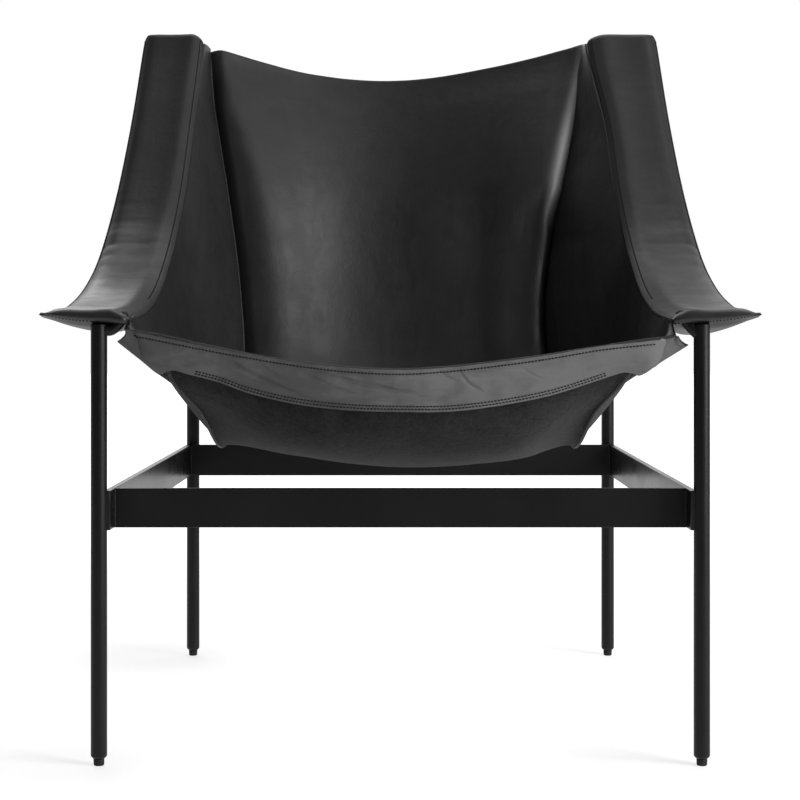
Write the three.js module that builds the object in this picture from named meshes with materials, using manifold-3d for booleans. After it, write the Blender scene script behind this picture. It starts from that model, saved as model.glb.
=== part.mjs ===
// Leather sling lounge chair: four round steel legs, a ring of flat bar that joins them,
// two bent rod loops that carry the arms and wings, and a sewn leather sling hung between them.
// Millimetres, +Z up, the sitter faces -Y. The origin is on the floor under the middle of the chair.

import * as THREE from 'three';
import { mergeVertices } from 'three/addons/utils/BufferGeometryUtils.js';
import Module from 'manifold-3d';

const wasm = await Module();
wasm.setup();

// Clearances
const seatGap = 0.3;
const weldGap = 0.3;
const rodClearance = 0.6;

// Legs and feet
const legDiameter = 16;
const frontLegHalfSpan = 313.5;
const rearLegInset = 33;
const legDepthSpacing = 603;
const legEndTaper = 2.4;
const legEndDiameter = 12;
const footHeight = 8.8;
const footTopDiameter = 11.4;
const footSoleDiameter = 9.8;
const footSoleRound = 1;
const footStemDiameter = 6;
const footStemLength = 14;
const legSides = 20;

// Flat-bar ring
const barHeight = 40.5;
const barThickness = 7;
const frontBarSetback = 20;
const sideBarFrontInset = 12.8;
const sideBarRearOutset = 1.1;

// Arm and wing, each a leather pocket over a bent rod loop
const armHeight = 464;
const wingTopHeight = 834;
const armOuterReach = 65.5;
const armInnerReach = 29;
const armOuterLift = 3.5;
const wingTopSetback = 19;
const rodDiameter = 8;
const rodInset = 14;
const rodOuterInset = 24;
const rodCornerLength = 14;
const stayDiameter = 8;
const leatherThickness = 2.2;
const pocketEdgeTaper = 10;
const pocketOuterTaper = 22;
const armOuterCorner = 12;
const armInnerCorner = 24;
const wingOuterCorner = 9;
const wingInnerCorner = 15;
const legHoleClearance = 0.6;
const armUndersideSag = 9;
const legHoleOverrun = 12;

// Sling
const slingThickness = 3;
const seatDrop = 174;
const seatBarClearance = 1;
const bandThickness = 2.2;
const bandGap = 0.7;
const panelLap = 0.9;

// Mesh densities
const slingRows = 26;
const lipRowCrowding = 1.25;
const bodyColumns = 16;
const panelColumns = 6;
const bandRows = 4;
const bandEndColumns = 6;
const pocketRows = 24;
const pocketEndRowShares = [0, 0.008, 0.016];
const pocketColumnShares = [0, 0.05, 0.11, 0.45, 0.76, 0.87, 1];
const rodSides = 7;
const rodSteps = 64;
const rodSidePoints = 16;

const colours = {
  steel: { color: 0x17171a, roughness: 0.5, metalness: 0.3 },
  rubber: { color: 0x0c0c0c, roughness: 0.85, metalness: 0 },
  leather: { color: 0x2b2b2c, roughness: 0.52, metalness: 0 },
};

const legRadius = legDiameter / 2;
const rodRadius = rodDiameter / 2;

// The arms and wings keep to the legs: the arm's front rod stands over the front legs, and the
// wing's top stands just before the rear ones
const rearLegHalfSpan = frontLegHalfSpan - rearLegInset;
const armHalfWidth = frontLegHalfSpan + armOuterReach;
const armInnerHalf = frontLegHalfSpan - armInnerReach;
const armFront = -rodInset;
const wingDepth = legDepthSpacing - wingTopSetback - armFront;

// The ring's top clears the lowest part of the seat
const barTopHeight = armHeight - seatDrop - slingThickness - seatBarClearance;

// Stations from the arm's front edge (first) to the wing's top (last). Depth is a share of
// wingDepth, rise a share of the climb from arm to wing top, outer and inner of their half widths.
const wingShares = [
  { depth: 0.000, rise: 0.000, outer: 0.986, inner: 0.990 },
  { depth: 0.074, rise: 0.000, outer: 0.992, inner: 0.996 },
  { depth: 0.174, rise: 0.004, outer: 0.998, inner: 1.000 },
  { depth: 0.308, rise: 0.021, outer: 0.997, inner: 1.000 },
  { depth: 0.467, rise: 0.074, outer: 0.988, inner: 0.997 },
  { depth: 0.589, rise: 0.161, outer: 0.979, inner: 0.990 },
  { depth: 0.679, rise: 0.262, outer: 0.970, inner: 0.979 },
  { depth: 0.763, rise: 0.418, outer: 0.953, inner: 0.960 },
  { depth: 0.873, rise: 0.672, outer: 0.929, inner: 0.943 },
  { depth: 0.960, rise: 0.890, outer: 0.912, inner: 0.922 },
  { depth: 1.000, rise: 1.000, outer: 0.904, inner: 0.914 },
];

// The sling's guide points at the same stations, from the front lip over the seat to the top of
// the back. Each is [half width, depth, level]: shares of armInnerHalf and wingDepth, and a level
// that is a share of seatDrop below the arm when negative, and of the wing's climb when positive.
const centreShares = [
  [0.000, 0.017, -0.305],
  [0.000, 0.045, -0.554],
  [0.000, 0.140, -0.842],
  [0.000, 0.291, -0.977],
  [0.000, 0.492, -1.000],
  [0.000, 0.676, -0.915],
  [0.000, 0.809, -0.576],
  [0.000, 0.935, 0.063],
  [0.000, 1.043, 0.444],
  [0.000, 1.135, 0.744],
  [0.000, 1.174, 0.872],
];
const bellyShares = [
  [0.421, 0.017, -0.257],
  [0.439, 0.045, -0.492],
  [0.439, 0.140, -0.797],
  [0.439, 0.291, -0.927],
  [0.421, 0.492, -0.960],
  [0.404, 0.679, -0.876],
  [0.393, 0.803, -0.537],
  [0.404, 0.920, 0.068],
  [0.439, 1.018, 0.450],
  [0.474, 1.102, 0.777],
  [0.474, 1.140, 0.907],
];
const seamShares = [
  [0.754, 0.020, -0.155],
  [0.872, 0.047, -0.285],
  [0.774, 0.157, -0.571],
  [0.730, 0.299, -0.802],
  [0.709, 0.500, -0.842],
  [0.695, 0.676, -0.757],
  [0.691, 0.768, -0.379],
  [0.723, 0.851, 0.090],
  [0.800, 0.940, 0.471],
  [0.867, 1.023, 0.812],
  [0.902, 1.060, 0.966],
];
const flankShares = [
  [0.894, 0.020, -0.113],
  [0.953, 0.050, -0.250],
  [0.921, 0.157, -0.266],
  [0.907, 0.291, -0.379],
  [0.900, 0.475, -0.379],
  [0.879, 0.609, -0.266],
  [0.865, 0.701, 0.049],
  [0.858, 0.784, 0.267],
  [0.886, 0.893, 0.567],
  [0.900, 0.980, 0.847],
  [0.907, 1.028, 0.966],
];

// The front lip leaves the arm at its inner corner, this share of the seat's drop below it
const lipDropShare = 0.09;
const lipDepthShare = 0.024;
const lipHalfShare = 1.022;
const rimTopRiseShare = 0.963;
const mitreLimitShare = 0.5;
const bandEndAlongShare = 0.35;
const sagReachShare = 0.5;

const wingRise = wingTopHeight - armHeight;

function depthAt(share) {
  return armFront + share * wingDepth;
}

function levelAt(share) {
  return armHeight + share * (share < 0 ? seatDrop : wingRise);
}

// A smooth curve through the points; its own parameter runs evenly from point to point
function curveThrough(points, closed = false) {
  return new THREE.CatmullRomCurve3(points, closed, 'centripetal');
}

// The arm's outer edge stands a little higher than its inner one
const wingOuterEdge = curveThrough(wingShares.map((w) => new THREE.Vector3(
  w.outer * armHalfWidth, depthAt(w.depth), levelAt(w.rise) + armOuterLift * (1 - w.rise))));
const wingInnerEdge = curveThrough(wingShares.map(
  (w) => new THREE.Vector3(w.inner * armInnerHalf, depthAt(w.depth), levelAt(w.rise))));

// Where the sling's rim meets the wing pocket: just inside the pocket's inner edge
const rimInset = slingThickness + panelLap;
const rimCurve = curveThrough(wingShares.map((w, i) => {
  if (i === 0) {
    return new THREE.Vector3(
      lipHalfShare * armInnerHalf, depthAt(lipDepthShare), levelAt(-lipDropShare));
  }
  const rise = Math.min(w.rise, rimTopRiseShare);
  return new THREE.Vector3(w.inner * armInnerHalf - rimInset, depthAt(w.depth), levelAt(rise));
}));

function guideCurve(shares) {
  return curveThrough(shares.map(([half, depth, level]) => new THREE.Vector3(
    half * armInnerHalf, depthAt(depth), levelAt(level))));
}

const guides = {
  centre: guideCurve(centreShares),
  belly: guideCurve(bellyShares),
  seam: guideCurve(seamShares),
  flank: guideCurve(flankShares),
  rim: rimCurve,
};

function mirrored(point) {
  return new THREE.Vector3(-point.x, point.y, point.z);
}

// A point of the seat and back's inner face: along runs 0 to 1 from lip to top, across -1 to 1
// from seam to seam
function bodyPoint(along, across) {
  const half = [guides.belly.getPoint(along), guides.seam.getPoint(along)];
  const section = [...half.map(mirrored).reverse(), guides.centre.getPoint(along), ...half];
  return curveThrough(section).getPoint((across + 1) / 2);
}

// A point of the left side panel's inner face: across runs 0 to 1 from the seam to the rim
function panelPoint(along, across) {
  const section = [guides.seam, guides.flank, guides.rim].map((guide) => guide.getPoint(along));
  return curveThrough(section).getPoint(across);
}

const probeStep = 1e-3;

// Away from the sitter: down under the seat, outwards at the sides, backwards behind the back
function outwardNormal(pointAt, along, across, acrossMin) {
  const ahead = pointAt(Math.min(along + probeStep, 1), across);
  const behind = pointAt(Math.max(along - probeStep, 0), across);
  const right = pointAt(along, Math.min(across + probeStep, 1));
  const left = pointAt(along, Math.max(across - probeStep, acrossMin));
  return ahead.sub(behind).cross(right.sub(left)).normalize();
}

// At the seam both pieces are thickened along the bisector, so that their edges lie face to face
function seamMitre(along) {
  const body = outwardNormal(bodyPoint, along, 1, -1);
  const panel = outwardNormal(panelPoint, along, 0, 0);
  const bisector = body.clone().add(panel).normalize();
  return bisector.divideScalar(Math.max(bisector.dot(body), mitreLimitShare));
}

// A closed sheet from a grid of pairs of points, one on each face
function sheetGeometry(pairAt, rows, columns) {
  const positions = [];
  const width = columns + 1;
  for (const face of [0, 1]) {
    for (let i = 0; i <= rows; i++) {
      for (let j = 0; j <= columns; j++) {
        positions.push(...pairAt(i / rows, j / columns)[face].toArray());
      }
    }
  }
  const layer = (rows + 1) * width;
  const at = (face, i, j) => face * layer + i * width + j;
  const faces = [];
  const quad = (a, b, c, d) => faces.push(a, b, c, a, c, d);
  for (let i = 0; i < rows; i++) {
    for (let j = 0; j < columns; j++) {
      quad(at(0, i, j), at(0, i + 1, j), at(0, i + 1, j + 1), at(0, i, j + 1));
      quad(at(1, i, j), at(1, i, j + 1), at(1, i + 1, j + 1), at(1, i + 1, j));
    }
  }
  for (let i = 0; i < rows; i++) {
    quad(at(0, i, 0), at(1, i, 0), at(1, i + 1, 0), at(0, i + 1, 0));
    quad(at(0, i, columns), at(0, i + 1, columns), at(1, i + 1, columns), at(1, i, columns));
  }
  for (let j = 0; j < columns; j++) {
    quad(at(0, 0, j), at(0, 0, j + 1), at(1, 0, j + 1), at(1, 0, j));
    quad(at(0, rows, j), at(1, rows, j), at(1, rows, j + 1), at(0, rows, j + 1));
  }
  const geometry = new THREE.BufferGeometry();
  geometry.setAttribute('position', new THREE.Float32BufferAttribute(positions, 3));
  geometry.setIndex(faces);
  return facingOut(geometry);
}

function signedVolume(geometry) {
  const p = geometry.getAttribute('position');
  const index = geometry.getIndex();
  const corners = [new THREE.Vector3(), new THREE.Vector3(), new THREE.Vector3()];
  let total = 0;
  for (let i = 0; i < index.count; i += 3) {
    corners.forEach((corner, k) => corner.fromBufferAttribute(p, index.getX(i + k)));
    total += corners[0].dot(corners[1].clone().cross(corners[2])) / 6;
  }
  return total;
}

function facingOut(geometry) {
  if (signedVolume(geometry) > 0) return geometry;
  const index = geometry.getIndex();
  for (let i = 0; i < index.count; i += 3) {
    const first = index.getX(i);
    index.setX(i, index.getX(i + 1));
    index.setX(i + 1, first);
  }
  return geometry;
}

function toSolid(geometry) {
  const bare = geometry.clone();
  bare.deleteAttribute('normal');
  bare.deleteAttribute('uv');
  const merged = mergeVertices(bare);
  return new wasm.Manifold(new wasm.Mesh({
    numProp: 3,
    vertProperties: new Float32Array(merged.getAttribute('position').array),
    triVerts: new Uint32Array(merged.getIndex().array),
  }));
}

function toGeometry(solid) {
  const mesh = solid.getMesh();
  const geometry = new THREE.BufferGeometry();
  geometry.setAttribute('position', new THREE.BufferAttribute(mesh.vertProperties, 3));
  geometry.setIndex(new THREE.BufferAttribute(mesh.triVerts, 1));
  return geometry;
}

function rodBetween(start, end, diameter) {
  const axis = end.clone().sub(start);
  const rod = new THREE.CylinderGeometry(diameter / 2, diameter / 2, axis.length(), legSides);
  const upright = new THREE.Vector3(0, 1, 0);
  rod.applyQuaternion(new THREE.Quaternion().setFromUnitVectors(upright, axis.clone().normalize()));
  rod.translate(...start.clone().add(end).divideScalar(2).toArray());
  return rod;
}

// Turned pieces are drawn as [radius, height] outlines and stood upright
function turned(outline, sides) {
  const shape = new THREE.LatheGeometry(outline.map(([r, z]) => new THREE.Vector2(r, z)), sides);
  return shape.rotateX(Math.PI / 2);
}

const stemBore = footStemDiameter / 2 + seatGap;
const stemTop = footHeight + footStemLength;

function legGeometry(topHeight) {
  const outline = [
    [stemBore, footHeight + seatGap],
    [legEndDiameter / 2, footHeight + seatGap],
    [legRadius, footHeight + seatGap + legEndTaper],
    [legRadius, topHeight],
    [0, topHeight],
    [0, stemTop + seatGap],
    [stemBore, stemTop + seatGap],
    [stemBore, footHeight + seatGap],
  ];
  return facingOutIndexed(turned(outline, legSides));
}

function footGeometry() {
  const outline = [
    [0, 0],
    [footSoleDiameter / 2 - footSoleRound, 0],
    [footSoleDiameter / 2, footSoleRound],
    [footTopDiameter / 2, footHeight],
    [footStemDiameter / 2, footHeight],
    [footStemDiameter / 2, stemTop],
    [0, stemTop],
  ];
  return facingOutIndexed(turned(outline, legSides));
}

function facingOutIndexed(geometry) {
  const bare = geometry.clone();
  bare.deleteAttribute('normal');
  bare.deleteAttribute('uv');
  return facingOut(mergeVertices(bare));
}

// The middle surface of a wing pocket: along 0 to 1 from arm front to wing top, across 0 to 1
// from the inner edge to the outer one
function pocketPoint(along, across) {
  return wingInnerEdge.getPoint(along).lerp(wingOuterEdge.getPoint(along), across);
}

// Towards the sitter's elbow: upwards on the arm, forwards on the wing
function pocketUp(along) {
  const ahead = pocketPoint(Math.min(along + probeStep, 1), 0);
  const behind = pocketPoint(Math.max(along - probeStep, 0), 0);
  const run = ahead.sub(behind);
  return new THREE.Vector3(0, -run.z, run.y).normalize();
}

const pocketLength = curveThrough(wingShares.map(
  (w) => new THREE.Vector3(0, depthAt(w.depth), levelAt(w.rise)))).getLength();
const pocketWidth = armHalfWidth - armInnerHalf;

// How far a rounded corner of this radius eats into an edge, at a distance from the side
function cornerBite(radius, fromSide) {
  if (fromSide >= radius) return 0;
  return radius - Math.sqrt(radius ** 2 - (radius - fromSide) ** 2);
}

// The first and the last stations' spans turn lengths at the two ends into the curves' parameter
const endStationShare = 1 / (wingShares.length - 1);
const frontSpan = (wingShares[1].depth - wingShares[0].depth) * wingDepth;
const topSpan = Math.hypot(
  (wingShares.at(-1).depth - wingShares.at(-2).depth) * wingDepth,
  (wingShares.at(-1).rise - wingShares.at(-2).rise) * wingRise);

function pocketAlong(fromFront) {
  return fromFront * endStationShare / frontSpan;
}

// Where the pocket starts and ends along its curves, with its corners rounded
function pocketRange(across) {
  const fromInner = across * pocketWidth;
  const fromOuter = (1 - across) * pocketWidth;
  const frontBite = cornerBite(armInnerCorner, fromInner) + cornerBite(armOuterCorner, fromOuter);
  const topBite = cornerBite(wingInnerCorner, fromInner) + cornerBite(wingOuterCorner, fromOuter);
  return [pocketAlong(frontBite), 1 - topBite * endStationShare / topSpan];
}

const pocketHalfEdge = leatherThickness / 2 + seatGap / 2;
const pocketHalfFull = rodRadius + rodClearance + leatherThickness / 2;

// The pocket is full over the rods and closes to two plies at its edges
function pocketHalf(taperShare) {
  const fullShare = Math.sin(Math.min(taperShare, 1) * Math.PI / 2);
  return pocketHalfEdge + (pocketHalfFull - pocketHalfEdge) * fullShare;
}

// Under the arm the leather hangs a little below the rods
function undersideSag(along, across) {
  const alongShare = Math.min(along / sagReachShare, 1);
  return armUndersideSag * Math.sin(Math.PI * across) * Math.sin(Math.PI * alongShare);
}

// Rows stand closer together at the two ends, where the pocket closes
function pocketRowShareList() {
  const edge = pocketEndRowShares.at(-1);
  const shares = [...pocketEndRowShares];
  for (let i = 1; i < pocketRows; i++) shares.push(edge + (1 - 2 * edge) * i / pocketRows);
  return [...shares, ...pocketEndRowShares.toReversed().map((share) => 1 - share)];
}

const pocketRowShares = pocketRowShareList();

function pocketSkin(side) {
  const rows = pocketRowShares.length - 1;
  const columns = pocketColumnShares.length - 1;
  const pairAt = (rowPart, columnPart) => {
    const across = pocketColumnShares[Math.round(columnPart * columns)];
    const [start, end] = pocketRange(across);
    const rowShare = pocketRowShares[Math.round(rowPart * rows)];
    const along = start + (end - start) * rowShare;
    const taperShare = Math.min(
      Math.min(rowShare, 1 - rowShare) * pocketLength / pocketEdgeTaper,
      across * pocketWidth / pocketEdgeTaper,
      (1 - across) * pocketWidth / pocketOuterTaper);
    const sag = side < 0 ? undersideSag(along, across) : 0;
    const middle = (pocketHalf(taperShare) + sag) * side;
    const up = pocketUp(along);
    const centre = pocketPoint(along, across);
    const inner = centre.clone().addScaledVector(up, middle - side * leatherThickness / 2);
    const outer = centre.clone().addScaledVector(up, middle + side * leatherThickness / 2);
    return [inner, outer];
  };
  return sheetGeometry(pairAt, rows, columns);
}

// The rod loop lies in the pocket's middle surface, inset from its edges
const rodAcrossShare = rodInset / pocketWidth;
const rodOuterShare = 1 - rodOuterInset / pocketWidth;
const rodFrontAlong = pocketAlong(rodInset);
const rodTopAlong = 1 - rodInset * endStationShare / topSpan;
const cornerAcrossShare = (rodInset + rodCornerLength) / pocketWidth;
const cornerOuterShare = 1 - (rodOuterInset + rodCornerLength) / pocketWidth;

function rodLoopCurve() {
  const points = [];
  const cornerAlong = pocketAlong(rodCornerLength);
  const first = rodFrontAlong + cornerAlong;
  const last = rodTopAlong - rodCornerLength * endStationShare / topSpan;
  for (let i = 0; i <= rodSidePoints; i++) {
    points.push(pocketPoint(first + (last - first) * i / rodSidePoints, rodAcrossShare));
  }
  const crossShares = [cornerAcrossShare, (cornerAcrossShare + cornerOuterShare) / 2, cornerOuterShare];
  for (const across of crossShares) points.push(pocketPoint(rodTopAlong, across));
  for (let i = rodSidePoints; i >= 0; i--) {
    points.push(pocketPoint(first + (last - first) * i / rodSidePoints, rodOuterShare));
  }
  for (const across of crossShares.toReversed()) points.push(pocketPoint(rodFrontAlong, across));
  return curveThrough(points, true);
}

const rearLegTop = pocketPoint(rodTopAlong, 0).z + rodRadius;

// A short stay ties the top of the loop to the rear leg, through a hole in the pocket's back
function stayEnds() {
  const level = pocketPoint(rodTopAlong, 0).z;
  const rodDepth = pocketPoint(rodTopAlong, 0).y;
  return {
    start: new THREE.Vector3(rearLegHalfSpan, rodDepth, level),
    end: new THREE.Vector3(rearLegHalfSpan, legDepthSpacing - legRadius - weldGap, level),
  };
}

function wingRodGeometry() {
  const loop = new THREE.TubeGeometry(rodLoopCurve(), rodSteps, rodRadius, rodSides, true);
  const { start, end } = stayEnds();
  return toGeometry(toSolid(loop).add(toSolid(rodBetween(start, end, stayDiameter))));
}

function backingGeometry() {
  const { start, end } = stayEnds();
  const hole = legRadius + legHoleClearance;
  const legHole = rodBetween(
    new THREE.Vector3(frontLegHalfSpan, 0, armHeight - pocketHalfFull - legHoleOverrun),
    new THREE.Vector3(frontLegHalfSpan, 0, armHeight), hole * 2);
  const stayHole = rodBetween(start, end.clone().add(new THREE.Vector3(0, legRadius, 0)),
    stayDiameter + legHoleClearance * 2);
  return toGeometry(toSolid(pocketSkin(-1)).subtract(toSolid(legHole)).subtract(toSolid(stayHole)));
}

// Rows of the sling stand closer together at the lip, where it turns down
function slingAlong(rowPart) {
  return rowPart ** lipRowCrowding;
}

// The two faces of a ply, which starts this far outside the sling's inner face
function plyFaces(point, outward, depthIn, thickness) {
  return [
    point.clone().addScaledVector(outward, depthIn),
    point.clone().addScaledVector(outward, depthIn + thickness),
  ];
}

// Half the seam's gap, as a step of the surface's own across parameter
function seamStep(pointAt, along, edge) {
  const beside = edge > 0 ? edge - probeStep : edge + probeStep;
  const span = pointAt(along, edge).distanceTo(pointAt(along, beside));
  return (seatGap / 2) * probeStep / span;
}

function bodyFaces(along, across, depthIn = 0, thickness = slingThickness) {
  if (Math.abs(across) < 1) {
    const outward = outwardNormal(bodyPoint, along, across, -1);
    return plyFaces(bodyPoint(along, across), outward, depthIn, thickness);
  }
  const mitre = seamMitre(along);
  const edge = bodyPoint(along, 1 - seamStep(bodyPoint, along, 1));
  const faces = plyFaces(edge, mitre, depthIn, thickness);
  return across > 0 ? faces : faces.map(mirrored);
}

function panelFaces(along, across, depthIn = 0, thickness = slingThickness) {
  if (across > 0) {
    const outward = outwardNormal(panelPoint, along, across, 0);
    return plyFaces(panelPoint(along, across), outward, depthIn, thickness);
  }
  const edge = panelPoint(along, seamStep(panelPoint, along, 0));
  return plyFaces(edge, seamMitre(along), depthIn, thickness);
}

function slingBodyGeometry() {
  return sheetGeometry(
    (rowPart, columnPart) => bodyFaces(slingAlong(rowPart), 2 * columnPart - 1), slingRows, bodyColumns);
}

function sidePanelGeometry() {
  return sheetGeometry(
    (rowPart, columnPart) => panelFaces(slingAlong(rowPart), columnPart), slingRows, panelColumns);
}

// A second ply hangs outside the lip and carries its stitching. It has the sling's own columns,
// so that the two lie evenly together, and it narrows over the side panels towards its ends
function frontBandGeometry() {
  const columns = bodyColumns + 2 * bandEndColumns;
  const depthIn = slingThickness + bandGap;
  return sheetGeometry((rowPart, columnPart) => {
    const column = Math.round(columnPart * columns);
    const full = rowPart * bandRows / slingRows;
    const beyondLeft = (column - bandEndColumns - bodyColumns) / panelColumns;
    const beyondRight = (bandEndColumns - column) / panelColumns;
    const beyond = Math.max(beyondLeft, beyondRight);
    if (beyond <= 0) {
      const across = 2 * (column - bandEndColumns) / bodyColumns - 1;
      return bodyFaces(slingAlong(full), across, depthIn, bandThickness);
    }
    const along = slingAlong(full) * (1 - (1 - bandEndAlongShare) * beyond);
    const faces = panelFaces(along, beyond, depthIn, bandThickness);
    return beyondLeft > 0 ? faces : faces.map(mirrored);
  }, bandRows, columns);
}

function flatBar(plan) {
  const outline = new THREE.Shape(plan.map(([x, y]) => new THREE.Vector2(x, y)));
  const bar = new THREE.ExtrudeGeometry(outline, { depth: barHeight, bevelEnabled: false });
  return bar.translate(0, 0, barTopHeight - barHeight);
}

const rearBarFront = legDepthSpacing - legRadius - weldGap - barThickness;
const sideBarFront = -legRadius / 2;
const sideBarRear = legDepthSpacing - legRadius - weldGap;

// Half width of the side bars' inner face at a depth: the ring narrows towards the back
function sideBarInner(depth) {
  const frontInner = frontLegHalfSpan - sideBarFrontInset;
  const rearInner = rearLegHalfSpan + sideBarRearOutset;
  const share = (depth - frontBarSetback) / (rearBarFront - frontBarSetback);
  return frontInner + (rearInner - frontInner) * share;
}

function sideBarGeometry() {
  const bar = flatBar([
    [sideBarInner(sideBarFront), sideBarFront],
    [sideBarInner(sideBarFront) + barThickness, sideBarFront],
    [sideBarInner(sideBarRear) + barThickness, sideBarRear],
    [sideBarInner(sideBarRear), sideBarRear],
  ]);
  const leg = rodBetween(
    new THREE.Vector3(frontLegHalfSpan, 0, barTopHeight - barHeight - barThickness),
    new THREE.Vector3(frontLegHalfSpan, 0, barTopHeight + barThickness), legDiameter + weldGap * 2);
  return toGeometry(toSolid(bar).subtract(toSolid(leg)));
}

function crossBarGeometry(front) {
  const back = front + barThickness;
  const frontHalf = sideBarInner(front) - weldGap;
  const backHalf = sideBarInner(back) - weldGap;
  return flatBar([[-frontHalf, front], [frontHalf, front], [backHalf, back], [-backHalf, back]]);
}

function mirroredGeometry(geometry) {
  const copy = geometry.clone();
  copy.scale(-1, 1, 1);
  const indexed = copy.getIndex() ? copy : facingOutIndexed(copy);
  return facingOut(indexed);
}

const chair = new THREE.Group();

function addMesh(name, geometry, look, position = [0, 0, 0]) {
  const mesh = new THREE.Mesh(geometry, new THREE.MeshStandardMaterial(colours[look]));
  mesh.name = name;
  mesh.position.set(...position);
  chair.add(mesh);
}

// Right is the sitter's right, at -X, and left is at +X
function addPair(name, geometry, look) {
  addMesh(`${name}_left`, geometry, look);
  addMesh(`${name}_right`, mirroredGeometry(geometry), look);
}

const frontLegTop = armHeight - rodRadius - weldGap;

for (const [side, sign] of [['left', 1], ['right', -1]]) {
  addMesh(`front_leg_${side}`, legGeometry(frontLegTop), 'steel', [sign * frontLegHalfSpan, 0, 0]);
  addMesh(`front_foot_${side}`, footGeometry(), 'rubber', [sign * frontLegHalfSpan, 0, 0]);
  const rearFoot = [sign * rearLegHalfSpan, legDepthSpacing, 0];
  addMesh(`rear_leg_${side}`, legGeometry(rearLegTop), 'steel', rearFoot);
  addMesh(`rear_foot_${side}`, footGeometry(), 'rubber', rearFoot);
}
addMesh('front_bar', crossBarGeometry(frontBarSetback), 'steel');
addMesh('rear_bar', crossBarGeometry(rearBarFront), 'steel');
addPair('side_bar', sideBarGeometry(), 'steel');
addPair('wing_rod', wingRodGeometry(), 'steel');
addPair('wing_facing', pocketSkin(1), 'leather');
addPair('wing_backing', backingGeometry(), 'leather');
addPair('side_panel', sidePanelGeometry(), 'leather');
addMesh('sling_body', slingBodyGeometry(), 'leather');
addMesh('front_band', frontBandGeometry(), 'leather');

// Stand the chair over the origin
const box = new THREE.Box3().setFromObject(chair);
chair.position.set(0, -(box.min.y + box.max.y) / 2, 0);
chair.updateMatrixWorld(true);

export default chair;
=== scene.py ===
import math

import bmesh
import bpy
import numpy as np
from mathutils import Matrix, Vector


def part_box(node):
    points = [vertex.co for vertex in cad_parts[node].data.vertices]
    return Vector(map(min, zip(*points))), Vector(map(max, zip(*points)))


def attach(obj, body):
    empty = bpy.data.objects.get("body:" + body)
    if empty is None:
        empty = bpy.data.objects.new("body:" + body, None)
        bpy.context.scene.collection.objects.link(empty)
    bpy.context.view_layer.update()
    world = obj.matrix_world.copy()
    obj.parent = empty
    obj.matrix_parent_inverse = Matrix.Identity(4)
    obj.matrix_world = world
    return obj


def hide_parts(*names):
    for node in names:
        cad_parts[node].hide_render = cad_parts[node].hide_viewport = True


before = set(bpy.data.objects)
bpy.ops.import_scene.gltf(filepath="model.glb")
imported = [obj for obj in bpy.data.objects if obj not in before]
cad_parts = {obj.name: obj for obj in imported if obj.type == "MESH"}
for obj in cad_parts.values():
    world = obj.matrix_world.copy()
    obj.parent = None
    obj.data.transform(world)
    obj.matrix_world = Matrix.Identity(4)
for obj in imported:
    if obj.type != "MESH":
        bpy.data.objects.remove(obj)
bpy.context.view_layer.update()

# Shapes are worked out in millimetres: x to the sitter's left, y backwards from the front legs'
# axis, z up. They become metres in the row frame when a mesh is made.
leg_low, leg_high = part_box("front_leg_left")
AXIS_Y = (leg_low.y + leg_high.y) / 2
MM = 0.001


def to_row(points):
    return np.asarray(points, float) * MM + np.array([0.0, AXIS_Y, 0.0])


# Camera: level, two metres before the front legs, with the horizon above the picture's middle
CAMERA_DISTANCE = 2.0
CAMERA_HEIGHT = 0.4942
camera_data = bpy.data.cameras.new("camera")
camera_data.sensor_width = 36.0
camera_data.lens = 86.54
camera_data.shift_x = -0.0005
camera_data.shift_y = -0.1375
camera = bpy.data.objects.new("camera", camera_data)
camera.location = (0.0, AXIS_Y - CAMERA_DISTANCE, CAMERA_HEIGHT)
camera.rotation_euler = (math.radians(90), 0.0, 0.0)
bpy.context.scene.collection.objects.link(camera)
bpy.context.scene.camera = camera
bpy.context.scene.view_settings.view_transform = "Standard"

# Sizes in millimetres: the steel's follow the frame, and the leather's guides are placed from the rest
LEG_RADIUS = 8.5
FRONT_LEG_TOP = 459.0
REAR_LEG_TOP = 826.0
FRONT_HALF = 313.5
REAR_HALF = 280.5
LEG_SPACING = 603.0
BAR_LOW = 244.6
BAR_TOP = 285.8
BAR_THICK = 7.0
FRONT_BAR = 20.0
REAR_BAR = 587.7
ARM_HEIGHT = 464.0
WING_RISE = 370.0
ARM_HALF = 379.0
INNER_HALF = 284.5
ARM_FRONT = -14.0
WING_DEPTH = 598.0
SEAT_DROP = 174.0
POCKET_WIDTH = ARM_HALF - INNER_HALF
SIDES = (("left", 1), ("right", -1))

# The wing from the arm's front to its top: shares of the depth and the rise, then the half widths of its
# outer and inner edge as shares of ARM_HALF and INNER_HALF
WING = np.array([
    (0.000, 0.000, 0.986, 0.990),
    (0.074, 0.000, 0.992, 0.996),
    (0.174, 0.004, 0.998, 1.000),
    (0.308, 0.021, 0.997, 1.000),
    (0.467, 0.074, 0.988, 0.997),
    (0.589, 0.161, 0.975, 0.990),
    (0.679, 0.262, 0.965, 0.979),
    (0.763, 0.418, 0.9475, 0.960),
    (0.873, 0.672, 0.9255, 0.943),
    (0.960, 0.890, 0.912, 0.922),
    (1.000, 1.0055, 0.904, 0.914),
])
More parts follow.
